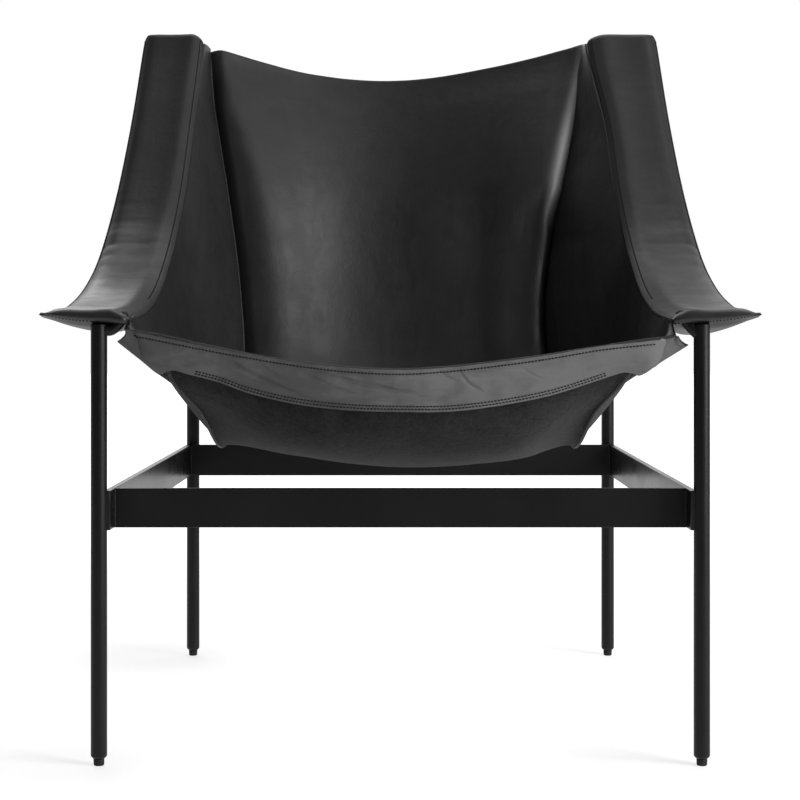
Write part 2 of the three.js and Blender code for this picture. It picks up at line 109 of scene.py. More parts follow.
# Lines along the sling from the lip to the top, on the left: shares of INNER_HALF, the depth and the rise.
# A rise below zero is a share of the seat's drop.
CENTRE = np.array([
    (0.000, 0.017, -0.305), (0.000, 0.045, -0.554), (0.000, 0.140, -0.842),
    (0.000, 0.291, -0.977), (0.000, 0.492, -1.000), (0.000, 0.676, -0.915),
    (0.000, 0.809, -0.576), (0.000, 0.935, 0.063), (0.000, 1.043, 0.444),
    (0.000, 1.135, 0.744), (0.000, 1.174, 0.872),
])
BELLY = np.array([
    (0.421, 0.017, -0.257), (0.439, 0.045, -0.492), (0.439, 0.140, -0.797),
    (0.439, 0.291, -0.927), (0.421, 0.492, -0.960), (0.404, 0.679, -0.876),
    (0.393, 0.803, -0.537), (0.404, 0.920, 0.068), (0.439, 1.018, 0.450),
    (0.474, 1.102, 0.777), (0.474, 1.140, 0.907),
])
SEAM = np.array([
    (0.754, 0.020, -0.155), (0.852, 0.047, -0.285), (0.748, 0.157, -0.571),
    (0.715, 0.299, -0.802), (0.709, 0.500, -0.842), (0.695, 0.676, -0.757),
    (0.691, 0.768, -0.379), (0.723, 0.851, 0.090), (0.800, 0.940, 0.471),
    (0.867, 1.023, 0.812), (0.902, 1.060, 0.966),
])
FLANK = np.array([
    (0.894, 0.020, -0.113), (0.953, 0.050, -0.250), (0.921, 0.157, -0.266),
    (0.907, 0.291, -0.379), (0.900, 0.475, -0.379), (0.879, 0.609, -0.266),
    (0.865, 0.701, 0.049), (0.858, 0.784, 0.267), (0.886, 0.893, 0.567),
    (0.900, 0.980, 0.850), (0.907, 1.028, 0.973),
])
# The panel's upper edge, under the wing: where it starts at the lip, how high it ends, how far in it lies
LIP_END = np.array([1.006, 0.024, -0.085])
RIM_TOP_RISE = 0.974
RIM_INSET = 0.3
# The arm's outer edge stands above its inner one, most of all at the front
OUTER_LIFT = 3.5
FRONT_LIFT = (3.0, 2.0, 1.0)


def level(share):
    return ARM_HEIGHT + np.where(share < 0, share * SEAT_DROP, share * WING_RISE)


def placed(half, depth, rise):
    return np.stack([half, ARM_FRONT + depth * WING_DEPTH, level(rise)], axis=-1)


def on_side(p, sign):
    """Points of the left side, or their mirror images on the right."""
    return p * np.array([sign, 1, 1])


def spline(points, t):
    """Centripetal Catmull-Rom through points (..., n, 3), at t (k,) that runs evenly from point to point."""
    points = np.asarray(points, float)
    count = points.shape[-2]
    first = 2 * points[..., :1, :] - points[..., 1:2, :]
    last = 2 * points[..., -1:, :] - points[..., -2:-1, :]
    p = np.concatenate([first, points, last], axis=-2)
    t = np.clip(np.asarray(t, float), 0, 1) * (count - 1)
    i = np.minimum(t.astype(int), count - 2)
    w = (t - i)[:, None]
    x0, x1, x2, x3 = (p[..., i + k, :] for k in range(4))
    d0, d1, d2 = (np.maximum(np.linalg.norm(b - a, axis=-1, keepdims=True), 1e-6) ** 0.5
                  for a, b in ((x0, x1), (x1, x2), (x2, x3)))
    t1 = ((x1 - x0) / d0 - (x2 - x0) / (d0 + d1) + (x2 - x1) / d1) * d1
    t2 = ((x2 - x1) / d1 - (x3 - x1) / (d1 + d2) + (x3 - x2) / d2) * d1
    return x1 + t1 * w + (-3 * x1 + 3 * x2 - 2 * t1 - t2) * w ** 2 + (2 * x1 - 2 * x2 + t1 + t2) * w ** 3


def smoothstep(low, high, x):
    t = np.clip((np.asarray(x, float) - low) / (high - low), 0, 1)
    return t * t * (3 - 2 * t)


def unit(v):
    return v / np.maximum(np.linalg.norm(v, axis=-1, keepdims=True), 1e-12)


def grid_normals(p):
    """Normals of a grid (rows, columns, 3): down the rows crossed with along the columns."""
    return unit(np.cross(np.gradient(p, axis=0), np.gradient(p, axis=1)))


def normals_towards(p, direction):
    """A grid's normals on the side of a direction, given once or for each point."""
    normal = grid_normals(p)
    return -normal if (normal * direction).sum() < 0 else normal


def arc_lengths(p):
    return np.concatenate([[0], np.cumsum(np.linalg.norm(np.diff(p, axis=0), axis=1))])


outer_knots = placed(WING[:, 2] * ARM_HALF, WING[:, 0], WING[:, 1])
outer_knots[:, 2] += OUTER_LIFT * (1 - WING[:, 1])
outer_knots[:3, 2] += FRONT_LIFT
inner_knots = placed(WING[:, 3] * INNER_HALF, WING[:, 0], WING[:, 1])
rim_knots = placed(WING[:, 3] * INNER_HALF - RIM_INSET, WING[:, 0], np.minimum(WING[:, 1], RIM_TOP_RISE))
rim_knots[0] = placed(LIP_END[0] * INNER_HALF, LIP_END[1], LIP_END[2])
guides = {name: placed(line[:, 0] * INNER_HALF, line[:, 1], line[:, 2])
          for name, line in (("centre", CENTRE), ("belly", BELLY), ("seam", SEAM), ("flank", FLANK))}
guides["rim"] = rim_knots


def body_base(along, across):
    """The seat and back without their rolls: along from 0 at the lip to 1, across from -1 (right) to 1."""
    centre, belly, seam = (spline(guides[k], along) for k in ("centre", "belly", "seam"))
    section = np.stack([on_side(seam, -1), on_side(belly, -1), centre, belly, seam], axis=1)
    return spline(section, (np.asarray(across) + 1) / 2)


def panel_base(along, across):
    """The left side panel: across from 0 at its seam with the seat to 1 at the wing."""
    section = np.stack([spline(guides[k], along) for k in ("seam", "flank", "rim")], axis=1)
    return spline(section, across)


# The back is rolled towards the sitter beside its seams: softly on the right, and as a tight roll
# that bulges over the seam on the left
ROLL_DEPTH = 24.0
ROLL_WIDTH = 84.0
TIGHT_DEPTH = 27.0
TIGHT_RADIUS = 5.6
TIGHT_RADIUS_GROWTH = 4.5
TIGHT_PUSH = 25.0
TIGHT_FADE = 90.0
SECTION_BULGE = 1.12
# The rolls' share in the seat, and what they lose at the top, at the middle and of their width in the seat
SEAT_ROLL = 0.22
TOP_LOSS = 0.72
MIDDLE_LOSS = 0.80
WIDTH_KEPT = 0.30
# Both leathers turn outwards into the seam
TUCK = 9.0
TUCK_IN_SEAT = 0.5
TUCK_BODY_WIDTH = 14.0
TUCK_PANEL_WIDTH = 6.0


def body_surface(along, across):
    """The seat and back's inner face, with full, rolled edges beside the side seams."""
    p = body_base(along, across)
    n = grid_normals(p)
    outwards = unit(np.gradient(p, axis=1))
    half = np.linalg.norm(p[:, -1] - p[:, 0], axis=1)[:, None] / 2
    from_seam = (1 - np.abs(across))[None, :] * half * SECTION_BULGE
    # Weak in the seat, full in the small of the back, and dying out to the top
    strength = (SEAT_ROLL + (1 - SEAT_ROLL) * smoothstep(0.42, 0.62, along)) * smoothstep(0.0, 0.12, along)
    strength = (strength * (1 - TOP_LOSS * smoothstep(0.74, 1.0, along)))[:, None]
    width = ROLL_WIDTH * (WIDTH_KEPT + (1 - WIDTH_KEPT) * smoothstep(1.02, 0.72, along))[:, None]
    soft = ROLL_DEPTH * (1 - (1 - np.clip(from_seam / width, 0, 1)) ** 3)
    radius = TIGHT_RADIUS * (1 + TIGHT_RADIUS_GROWTH * smoothstep(630, 530, p[..., 2]))
    tight = TIGHT_DEPTH * (1 - np.exp(-from_seam / radius))
    push = TIGHT_PUSH * (1 - np.exp(-from_seam / (0.75 * radius))) * np.exp(-from_seam / TIGHT_FADE)
    to_left = smoothstep(-0.35, 0.35, across)[None, :]
    fade = 1 - MIDDLE_LOSS * smoothstep(0.25, 1.0, 1 - np.abs(across))[None, :]
    rise = (soft * (1 - to_left) + tight * to_left) * fade * strength
    return p - n * rise[..., None] + outwards * (push * to_left * strength)[..., None]


def tuck(along, from_seam, width):
    """How far a point moves outwards near the seam. In the seat the leathers lie flat on each other."""
    depth = TUCK_IN_SEAT + TUCK * smoothstep(0.50, 0.64, along)[:, None]
    return (depth * np.clip(1 - from_seam / width, 0, 1) ** 2)[..., None]


def seam_outward(along):
    """Away from the sitter, halfway between the two leathers that meet at the left seam."""
    body = body_base(along, np.array([0.98, 0.99, 1.0]))
    panel = panel_base(along, np.array([0.0, 0.02, 0.04]))
    return unit(grid_normals(body)[:, -1] + grid_normals(panel)[:, 0])


# The sling hangs a little unevenly: how far each part stands above the even shape, over x
LIP_RAISE = [(-300, 5.0), (-255, 4.8), (-205, 3.2), (-115, 2.8), (0, 1.2), (60, 3.0), (120, 4.0), (170, 2.4),
             (205, 0.8), (255, -1.0), (300, -2.0)]
BELLY_RAISE = [(-260, 1.0), (-215, 1.0), (-105, 6.5), (0, 3.4), (90, 1.2), (150, -2.6), (200, 1.0), (260, 1.0)]
BACK_RAISE = [(-258, -6.6), (-169, -6.2), (-124, -6.9), (-79, -5.5), (-34, -2.9), (0, -1.0), (33, -0.3),
              (100, 0.0), (190, 0.6), (212, 1.3), (235, 2.7), (257, 5.8)]
# How far the back leans to the sitter's left at its right and left seam, over z. Below zero is to the right.
SEAM_LEAN = [(380, 0, -8), (440, 0, -16), (480, 0, -19), (520, 0, -19), (560, 0, -18), (600, -0.5, -24),
             (640, -1, -28), (690, -5, -24), (740, -10, -17), (780, -8, -10), (830, 0, -4)]
# The lean's share over the distance from the middle: all of it beside the seams, none at the wings
LEAN_SHARE = [(0, 0.35), (150, 0.85), (215, 1.0), (245, 0.5), (275, 0.0)]
# The seat's left seam hangs a little further in, too
SEAT_LEAN = 5.0


def settle(p):
    """Points of the even sling, where they lie as it hangs."""
    x, y, z = p[..., 0], p[..., 1], p[..., 2]
    lip, belly, back = (np.interp(x, *zip(*rises)) for rises in (LIP_RAISE, BELLY_RAISE, BACK_RAISE))
    lip = lip * smoothstep(34, 4, y) * smoothstep(345, 385, z)
    belly = belly * smoothstep(350, 300, z)
    back = back * smoothstep(640, 815, z) * np.where(x < 0, smoothstep(600, 670, y), smoothstep(590, 618, y))
    heights, right_lean, left_lean = (np.array(column, float) for column in zip(*SEAM_LEAN))
    to_left = smoothstep(-150, 150, x)
    lean = np.interp(z, heights, right_lean) * (1 - to_left) + np.interp(z, heights, left_lean) * to_left
    out = p.copy()
    out[..., 0] += lean * smoothstep(300, 440, y) * np.interp(np.abs(x), *zip(*LEAN_SHARE))
    out[..., 0] -= SEAT_LEAN * smoothstep(120, 200, x) * smoothstep(422, 398, z) * smoothstep(320, 220, y)
    out[..., 2] += lip + belly + back
    return out


def through(points, count):
    """A smooth curve through points in a plane, evenly spaced along its length."""
    points = np.array([(x, 0, z) for x, z in points], float)
    curve = spline(points, np.linspace(0, 1, 40 * len(points)))
    length = arc_lengths(curve)
    at = np.linspace(0, length[-1], count)
    return np.stack([np.interp(at, length, curve[:, k]) for k in (0, 2)], -1)


# Meshes
def new_mesh(name, verts, faces, materials, indices=None, smooth=True):
    mesh = bpy.data.meshes.new(name)
    mesh.from_pydata(to_row(verts).tolist(), [], [list(map(int, f)) for f in faces])
    for m in materials:
        mesh.materials.append(m)
    if indices is not None:
        mesh.polygons.foreach_set("material_index", np.asarray(indices, np.int32))
    mesh.polygons.foreach_set("use_smooth", np.full(len(mesh.polygons), smooth))
    mesh.update()
    obj = bpy.data.objects.new(name, mesh)
    bpy.context.scene.collection.objects.link(obj)
    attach(obj, "root")
    return obj


RIM_STEPS = 4
RIM_BULGE = 0.8


def sheet_mesh(name, inner, outer, materials):
    """A closed sheet between two grids, with rounded cut edges. Materials: inner face, outer face, edge."""
    rows, cols = inner.shape[:2]
    count = rows * cols
    at = np.arange(count).reshape(rows, cols)
    a, b, c, d = at[:-1, :-1], at[1:, :-1], at[1:, 1:], at[:-1, 1:]
    front = np.stack([a, b, c, d], -1).reshape(-1, 4)
    back = np.stack([a, d, c, b], -1).reshape(-1, 4) + count
    # The edge goes round the grids' border, in rings from the inner face to the outer one
    border = np.concatenate([at[0, :-1], at[:-1, -1], at[-1, :0:-1], at[:0:-1, 0]])
    inside = np.concatenate([at[1, :-1], at[:-1, -2], at[-2, :0:-1], at[:0:-1, 1]])
    flat_in, flat_out = inner.reshape(-1, 3), outer.reshape(-1, 3)
    middle = (flat_in[border] + flat_out[border]) / 2
    half = (flat_in[border] - flat_out[border]) / 2
    across = unit(half)
    out = middle - (flat_in[inside] + flat_out[inside]) / 2
    out = unit(out - across * (out * across).sum(1, keepdims=True))
    size = np.linalg.norm(half, axis=1, keepdims=True)
    rings = [middle + half * math.cos(angle) + out * size * math.sin(angle) * RIM_BULGE
             for angle in (math.pi * k / RIM_STEPS for k in range(1, RIM_STEPS))]
    n = len(border)
    lines = [border, *(2 * count + k * n + np.arange(n) for k in range(len(rings))), border + count]
    edge = np.concatenate([np.stack([low, np.roll(low, -1), np.roll(high, -1), high], -1)
                           for low, high in zip(lines[:-1], lines[1:])])
    verts = np.concatenate([flat_in, flat_out, *rings])
    faces = np.concatenate([front, back, edge])
    index = np.concatenate([np.zeros(len(front)), np.ones(len(back)), np.full(len(edge), 2)])
    # Turn every face outwards
    tri = verts[faces]
    volume = np.einsum("ij,ij->i", tri[:, 0], np.cross(tri[:, 1], tri[:, 2])).sum()
    volume += np.einsum("ij,ij->i", tri[:, 0], np.cross(tri[:, 2], tri[:, 3])).sum()
    if volume < 0:
        faces = faces[:, ::-1]
    return new_mesh(name, verts, faces, materials, index)


def circle(sides):
    angle = np.arange(sides) * 2 * math.pi / sides
    return np.cos(angle), np.sin(angle)


def ring_faces(rings, sides, start=0):
    """Faces of a closed round piece whose rings of vertices follow each other, the first one at start."""
    faces = []
    for k in range(rings - 1):
        low, high = start + k * sides, start + (k + 1) * sides
        for i in range(sides):
            j = (i + 1) % sides
            faces.append((low + i, low + j, high + j, high + i))
    faces.append(tuple(start + i for i in range(sides - 1, -1, -1)))
    faces.append(tuple(start + (rings - 1) * sides + i for i in range(sides)))
    return faces


# Materials
def material(name):
    """A new material and its empty node tree."""
    m = bpy.data.materials.new(name)
    m.use_nodes = True
    m.node_tree.nodes.clear()
    return m, Nodes(m.node_tree)


class Nodes:
    """Short ways to build a node tree. Values may be numbers or other nodes' outputs."""

    def __init__(self, tree):
        self.tree = tree
        self.coordinates = None

    def add(self, kind, **settings):
        node = self.tree.nodes.new(kind)
        for key, value in settings.items():
            if hasattr(node, key):
                setattr(node, key, value)
            else:
                self.put(node, key.replace("_", " "), value)
        return node

    def fill(self, socket, value):
        if isinstance(value, bpy.types.NodeSocket):
            self.tree.links.new(value, socket)
        else:
            socket.default_value = value

    def put(self, node, name, value):
        self.fill(next(s for s in node.inputs if s.name == name), value)

    def feed(self, node, values, first=0):
        """Values for a node's inputs by number, one after another."""
        for k, value in enumerate(values, first):
            self.fill(node.inputs[k], value)
        return node.outputs[0]

    def place(self, stretch=(1, 1, 1)):
        if self.coordinates is None:
            self.coordinates = self.add("ShaderNodeTexCoord").outputs["Object"]
        if stretch == (1, 1, 1):
            return self.coordinates
        node = self.add("ShaderNodeMapping")
        self.put(node, "Vector", self.coordinates)
        node.inputs["Scale"].default_value = stretch
        return node.outputs["Vector"]

    def noise(self, scale, detail=3.0, rough=0.5, distort=0.0, stretch=(1, 1, 1)):
        node = self.add("ShaderNodeTexNoise", Scale=scale, Detail=detail, Roughness=rough, Distortion=distort)
        self.put(node, "Vector", self.place(stretch))
        return node.outputs["Fac"]

    def cells(self, scale):
        node = self.add("ShaderNodeTexVoronoi", feature="SMOOTH_F1", Scale=scale)
        self.put(node, "Vector", self.place())
        return node.outputs["Distance"]

    def ramp(self, value, low, high, first, last):
        node = self.add("ShaderNodeMapRange")
        node.interpolation_type = "SMOOTHSTEP"
        return self.feed(node, (value, low, high, first, last))

    def maths(self, operation, a, b=0.0):
        return self.feed(self.add("ShaderNodeMath", operation=operation), (a, b))

    def blend(self, *parts):
        """The sum of values times their weights."""
        total = None
        for value, weight in parts:
            share = self.maths("MULTIPLY", value, weight)
            total = share if total is None else self.maths("ADD", total, share)
        return total

    def split(self, vector):
        """A vector's X, Y and Z."""
        node = self.add("ShaderNodeSeparateXYZ")
        self.feed(node, (vector,))
        return node.outputs

    def colour(self, factor, dark, light):
        node = self.add("ShaderNodeMix", data_type="RGBA")
        self.feed(node, (factor,))
        ends = (c if isinstance(c, bpy.types.NodeSocket) else (*c, 1) for c in (dark, light))
        self.feed(node, ends, 6)
        return node.outputs[2]

    def bump(self, height, strength, distance, below=None):
        node = self.add("ShaderNodeBump", Strength=strength, Distance=distance)
        self.put(node, "Height", height)
        if below is not None:
            self.put(node, "Normal", below)
        return node.outputs["Normal"]

    def surface(self, **sockets):
        shader = self.add("ShaderNodeBsdfPrincipled")
        for name, value in sockets.items():
            self.put(shader, name.replace("_", " "), value)
        self.put(self.add("ShaderNodeOutputMaterial"), "Surface", shader.outputs[0])


def grey(value, blue=0.0):
    return value, value, value + blue


def leather_material(name, dark, light, rough_low, rough_high, streak, painted_light_left=0.0):
    """Clouded black leather with grain and pores. A mesh may carry a painted highlight and painted shade, as
    shares.
    """
    m, n = material(name)
    clouds = n.noise(7.0, 4.0, 0.55, 0.6)
    mottle = n.noise(38.0, 4.0, 0.6)
    veins = n.noise(26.0, 5.0, 0.6, 1.2, stretch=streak)
    mix = n.blend((clouds, 0.55), (mottle, 0.25), (veins, 0.20))
    # Painted light: the tone grows lighter towards the sitter's left, the side of the key light
    if painted_light_left:
        mix = n.maths("ADD", mix, n.ramp(n.split(n.place())["X"], -0.3, 0.3, -painted_light_left, painted_light_left))
    # Painted highlight: a much lighter colour, and a little less roughness, where the mesh carries it
    painted_highlight = n.add("ShaderNodeAttribute", attribute_name="painted_crest_highlight").outputs["Fac"]
    colour = n.colour(n.ramp(mix, 0.36, 0.64, 0.0, 1.0), dark, light)
    colour = n.colour(painted_highlight, colour, grey(0.450, 0.005))
    # Painted shade: near black where the mesh carries it
    painted_shade = n.add("ShaderNodeAttribute", attribute_name="painted_shade").outputs["Fac"]
    colour = n.colour(painted_shade, colour, grey(0.002))
    rough = n.ramp(n.blend((clouds, 0.5), (veins, 0.5)), 0.35, 0.65, rough_high, rough_low)
    rough = n.maths("SUBTRACT", rough, n.maths("MULTIPLY", painted_highlight, 0.08))
    grain = n.cells(620.0)
    pores = n.noise(1500.0, 2.0, 0.5)
    soft = n.noise(55.0, 4.0, 0.55, 0.4)
    normal = n.bump(soft, 0.18, 0.0022)
    normal = n.bump(grain, 0.16, 0.0005, normal)
    normal = n.bump(pores, 0.10, 0.0002, normal)
    n.surface(Base_Color=colour, Roughness=rough, Specular_IOR_Level=0.5, Normal=normal)
    return m


def suede_material():
    m, n = material("suede")
    nap = n.noise(170.0, 6.0, 0.7, 0.8)
    patches = n.noise(24.0, 4.0, 0.6, 0.5)
    fibres = n.noise(420.0, 4.0, 0.7, 0.3, stretch=(1.0, 0.35, 0.5))
    mix = n.blend((nap, 0.45), (patches, 0.30), (fibres, 0.25))
    colour = n.colour(n.ramp(mix, 0.36, 0.66, 0.0, 1.0), grey(0.0025, 0.0001), grey(0.0230, 0.0004))
    normal = n.bump(fibres, 0.5, 0.0009)
    normal = n.bump(nap, 0.45, 0.0016, normal)
    n.surface(Base_Color=colour, Roughness=0.95, Specular_IOR_Level=0.2, Sheen_Weight=0.12,
              Sheen_Roughness=0.5, Normal=normal)
    return m


def plain_material(name, tone, span, dark, light, bump, rough, shine, relief=None):
    """A dull black with an uneven tone. Its relief follows the tone unless it has a noise of its own."""
    m, n = material(name)
    tone = n.noise(*tone)
    relief = n.noise(*relief) if relief else tone
    n.surface(Base_Color=n.colour(n.ramp(tone, *span, 0.0, 1.0), grey(dark), grey(light)), Roughness=rough,
              Specular_IOR_Level=shine, Normal=n.bump(relief, *bump))
    return m


def steel_material(name, rough_low, rough_high, shine):
    m, n = material(name)
    orange_peel = n.noise(1100.0, 2.0, 0.5)
    cast = n.noise(16.0, 3.0, 0.5)
    colour = n.colour(n.ramp(cast, 0.3, 0.7, 0.0, 1.0), grey(0.0032, 0.0002), grey(0.0048, 0.0002))
    rough = n.ramp(n.noise(9.0, 2.0, 0.5), 0.3, 0.7, rough_low, rough_high)
    normal = n.bump(orange_peel, 0.04, 0.0001)
    n.surface(Base_Color=colour, Roughness=rough, Specular_IOR_Level=shine, Normal=normal)
    return m


wing_leather = leather_material("wing_leather", grey(0.0082, 0.0002), grey(0.0166, 0.0003),
                                0.38, 0.52, (0.6, 0.6, 2.2))
sling_leather = leather_material("sling_leather", grey(0.0055, 0.0002), grey(0.0150, 0.0002),
                                 0.38, 0.54, (2.0, 1.0, 0.5))
# The band's tone carries painted light, lighter towards the sitter's left
band_leather = leather_material("band_leather", grey(0.0560, 0.0008), grey(0.1500, 0.0020),
                                0.42, 0.56, (0.6, 1.0, 2.0), 0.11)
suede = suede_material()
cut_edge = plain_material("cut_edge", (500.0, 4.0, 0.6, 0.5), (0.35, 0.7), 0.010, 0.026,
                          (0.3, 0.0005), 0.62, 0.45)
thread = plain_material("thread", (1600.0, 2.0, 0.5), (0.3, 0.7), 0.0025, 0.009, (0.5, 0.0003), 0.8, 0.3)
steel = steel_material("powder_coat", 0.42, 0.48, 0.28)
flat_steel = steel_material("powder_coat_flat", 0.26, 0.31, 0.52)
glide = plain_material("moulded_glide", (240.0, 4.0, 0.6, 0.5), (0.4, 0.75), 0.006, 0.016,
                       (0.25, 0.0002), 0.7, 0.4, relief=(1300.0, 3.0, 0.6))
leathers = [sling_leather, suede, cut_edge]

for name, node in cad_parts.items():
    node.data.materials.clear()
    node.data.materials.append(glide if "foot" in name else steel)


# Frame: round legs, sharp-edged flat bars and the welds between them
LEG_SIDES = 64


def turned(name, centre, profile, looks):
    """A round piece standing at centre, from (height, radius) pairs, closed at both ends."""
    cos, sin = circle(LEG_SIDES)
    rings = [np.stack([centre[0] + r * cos, centre[1] + r * sin, np.full(LEG_SIDES, z)], -1) for z, r in profile]
    return new_mesh(name, np.concatenate(rings), ring_faces(len(rings), LEG_SIDES), [looks])


def rounded(profile, radius, steps=4):
    """The profile with each inner corner rounded."""
    points = [np.array(p, float) for p in profile]
    out = [points[0]]
    for before, corner, after in zip(points[:-2], points[1:-1], points[2:]):
        reach = min(radius, np.linalg.norm(before - corner) / 2.2, np.linalg.norm(after - corner) / 2.2)
        a = corner + (before - corner) / np.linalg.norm(before - corner) * reach
        c = corner + (after - corner) / np.linalg.norm(after - corner) * reach
        for t in np.linspace(0, 1, steps + 1):
            out.append(a * (1 - t) ** 2 + 2 * corner * t * (1 - t) + c * t ** 2)
    out.append(points[-1])
    return out


BAR_BEVEL = 0.7


def plate(name, plan):
    """A flat bar of the ring, from four corners in plan, with slightly rounded edges."""
    verts = [(x, y, z) for z in (BAR_LOW, BAR_TOP) for x, y in plan]
    faces = [(3, 2, 1, 0), (4, 5, 6, 7)] + [(i, (i + 1) % 4, (i + 1) % 4 + 4, i + 4) for i in range(4)]
    obj = new_mesh(name, np.array(verts), faces, [flat_steel if "side" in name else steel],
                   smooth=False)
    bm = bmesh.new()
    bm.from_mesh(obj.data)
    bmesh.ops.recalc_face_normals(bm, faces=bm.faces)
    bmesh.ops.bevel(bm, geom=bm.edges[:], offset=BAR_BEVEL * MM, segments=3, profile=0.5, affect="EDGES")
    sixth = sorted((f.calc_area() for f in bm.faces), reverse=True)[5]
    for f in bm.faces:
        f.smooth = f.calc_area() < sixth * 0.5
    bm.to_mesh(obj.data)
    bm.free()
    return obj


# A rod's domed end, from its tip: how wide it is and how far it stands out, as shares of the radius
DOME = ((0.15, 0.95), (0.72, 0.62))


def tube(name, path, radius, sides=20):
    """A round rod along a path, with domed ends. The radius may be one number or one for each point."""
    path = np.asarray(path, float)
    count = len(path)
    radius = np.broadcast_to(np.asarray(radius, float), (count,))
    ahead = unit(np.gradient(path, axis=0))
    side = unit(np.cross(ahead, np.array([0.31, 0.17, 0.93])))
    up = np.cross(side, ahead)
    cos, sin = circle(sides)
    stations = [(0, size, -out) for size, out in DOME] + [(i, 1.0, 0.0) for i in range(count)]
    stations += [(count - 1, size, out) for size, out in reversed(DOME)]
    rings = []
    for i, size, out in stations:
        ring = path[i] + ahead[i] * (out * radius[i])
        rings.append(ring + radius[i] * size * (cos[:, None] * side[i] + sin[:, None] * up[i]))
    return new_mesh(name, np.concatenate(rings), ring_faces(len(rings), sides), [steel])


# Points of the stay that joins each front leg's head to the wing's rod, as x and z
STAY = {"right": [(307, 452.6), (301, 453.0), (295, 458.0), (289, 467.0)],
        "left": [(309, 449.0), (304, 454.0), (299, 460.0), (292, 468.0)]}
# Outlines of a leg's foot and of the glide in it: height and radius
LEG_FOOT = [(7.2, 4.2), (7.2, 5.9), (9.9, LEG_RADIUS)]
GLIDE = [(0.0, 0.6), (0.0, 4.9), (1.0, 5.5), (7.0, 5.7), (7.6, 4.4), (22.0, 4.2)]
for end, half, depth, top in (("front", FRONT_HALF, 0.0, FRONT_LEG_TOP),
                              ("rear", REAR_HALF, LEG_SPACING, REAR_LEG_TOP)):
    for side, sign in SIDES:
        centre = (sign * half, depth)
        leg = turned(f"{end}_leg_tube_{side}", centre, rounded(LEG_FOOT + [(top, LEG_RADIUS), (top, 2.0)], 1.2),
                     steel)
        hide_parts(f"{end}_leg_{side}")
        foot = turned(f"{end}_foot_glide_{side}", centre, rounded(GLIDE, 0.6), glide)
        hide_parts(f"{end}_foot_{side}")

# The side bars run from front to rear, and come closer together
BAR_FIT = 0.1
SIDE_FRONT, SIDE_REAR = -4.0, 594.7
SIDE_INNER_FRONT, SIDE_INNER_REAR = 301.2, 281.6


def side_inner(depth):
    """Half the clear width between the side bars."""
    return np.interp(depth, [SIDE_FRONT, SIDE_REAR], [SIDE_INNER_FRONT, SIDE_INNER_REAR])


for side, sign in SIDES:
    plan = [(sign * SIDE_INNER_FRONT, SIDE_FRONT), (sign * (SIDE_INNER_FRONT + BAR_THICK), SIDE_FRONT),
            (sign * (SIDE_INNER_REAR + BAR_THICK), SIDE_REAR), (sign * SIDE_INNER_REAR, SIDE_REAR)]
    bar = plate(f"side_bar_flat_{side}", plan)
    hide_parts(f"side_bar_{side}")
for end, depth in (("front", FRONT_BAR), ("rear", REAR_BAR)):
    half_front, half_back = (side_inner(at) - BAR_FIT for at in (depth, depth + BAR_THICK))
    plan = [(-half_front, depth), (half_front, depth), (half_back, depth + BAR_THICK),
            (-half_back, depth + BAR_THICK)]
    bar = plate(f"{end}_bar_flat", plan)
    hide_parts(f"{end}_bar")


def weld(name, start, stop, radius):
    """A small bead of weld, uneven along its length."""
    count = max(int(np.linalg.norm(np.subtract(stop, start)) / 1.2), 8)
    t = np.linspace(0, 1, count)
    path = np.array(start) * (1 - t[:, None]) + np.array(stop) * t[:, None]
    wobble = 1 + 0.10 * np.sin(t * count * 0.9) + 0.06 * np.sin(t * count * 2.3 + 1)
    return tube(name, path, radius * wobble, sides=12)


WELD_END = 1.5
STAY_POINTS, STAY_SLANT, STAY_RADIUS = 24, 4, 6.2
for side, sign in SIDES:
    for end, depth in (("front", FRONT_BAR + 0.2), ("rear", REAR_BAR + 0.2)):
        x = sign * (side_inner(depth) - 0.2)
        weld(f"{end}_bar_weld_{side}", (x, depth, BAR_LOW + WELD_END), (x, depth, BAR_TOP - WELD_END), 1.5)
    x = sign * (FRONT_HALF - LEG_RADIUS - 0.6)
    weld(f"front_leg_weld_{side}", (x, 2.0, BAR_LOW + WELD_END), (x, 2.0, BAR_TOP - WELD_END), 1.6)
    x = sign * (REAR_HALF - 3.5)
    weld(f"rear_leg_weld_{side}", (x, LEG_SPACING - 7.9, BAR_TOP - 0.6),
         (x + sign * 8.0, LEG_SPACING - 7.9, BAR_TOP - 0.6), 1.8)
    path = through([(sign * x, z) for x, z in STAY[side]], STAY_POINTS)
    back = np.linspace(0, STAY_SLANT, STAY_POINTS)
    tube(f"ring_stay_{side}", np.stack([path[:, 0], back, path[:, 1]], -1), STAY_RADIUS)

# Wing pockets: s is the distance across a wing from its inner edge, and along runs from the arm's front (0)
# to the wing's top (1)
FRONT_SPAN = (WING[1, 0] - WING[0, 0]) * WING_DEPTH
TOP_SPAN = math.hypot((WING[-1, 0] - WING[-2, 0]) * WING_DEPTH, (WING[-1, 1] - WING[-2, 1]) * WING_RISE)
STATION = 1 / (len(WING) - 1)
END_CROWD = 0.72
wing_length = arc_lengths(spline(inner_knots, np.linspace(0, 1, 400)))[-1]


def corner_bite(radius, from_side):
    """How much a rounded corner takes off an end, at a distance from the side."""
    inside = np.clip(radius - from_side, 0, radius)
    return radius - np.sqrt(radius ** 2 - inside ** 2)


def pocket_range(s, top_width, top_drop):
    """Where, along the wing, the pocket begins and ends at a distance s from its inner edge."""
    s = np.clip(s, 0, POCKET_WIDTH)
    front = corner_bite(7.0, s) + corner_bite(12.0, POCKET_WIDTH - s)
    top = corner_bite(1.0, s / top_width) * top_drop + corner_bite(9.0, POCKET_WIDTH - s)
    return front * STATION / FRONT_SPAN, 1 - top * STATION / TOP_SPAN


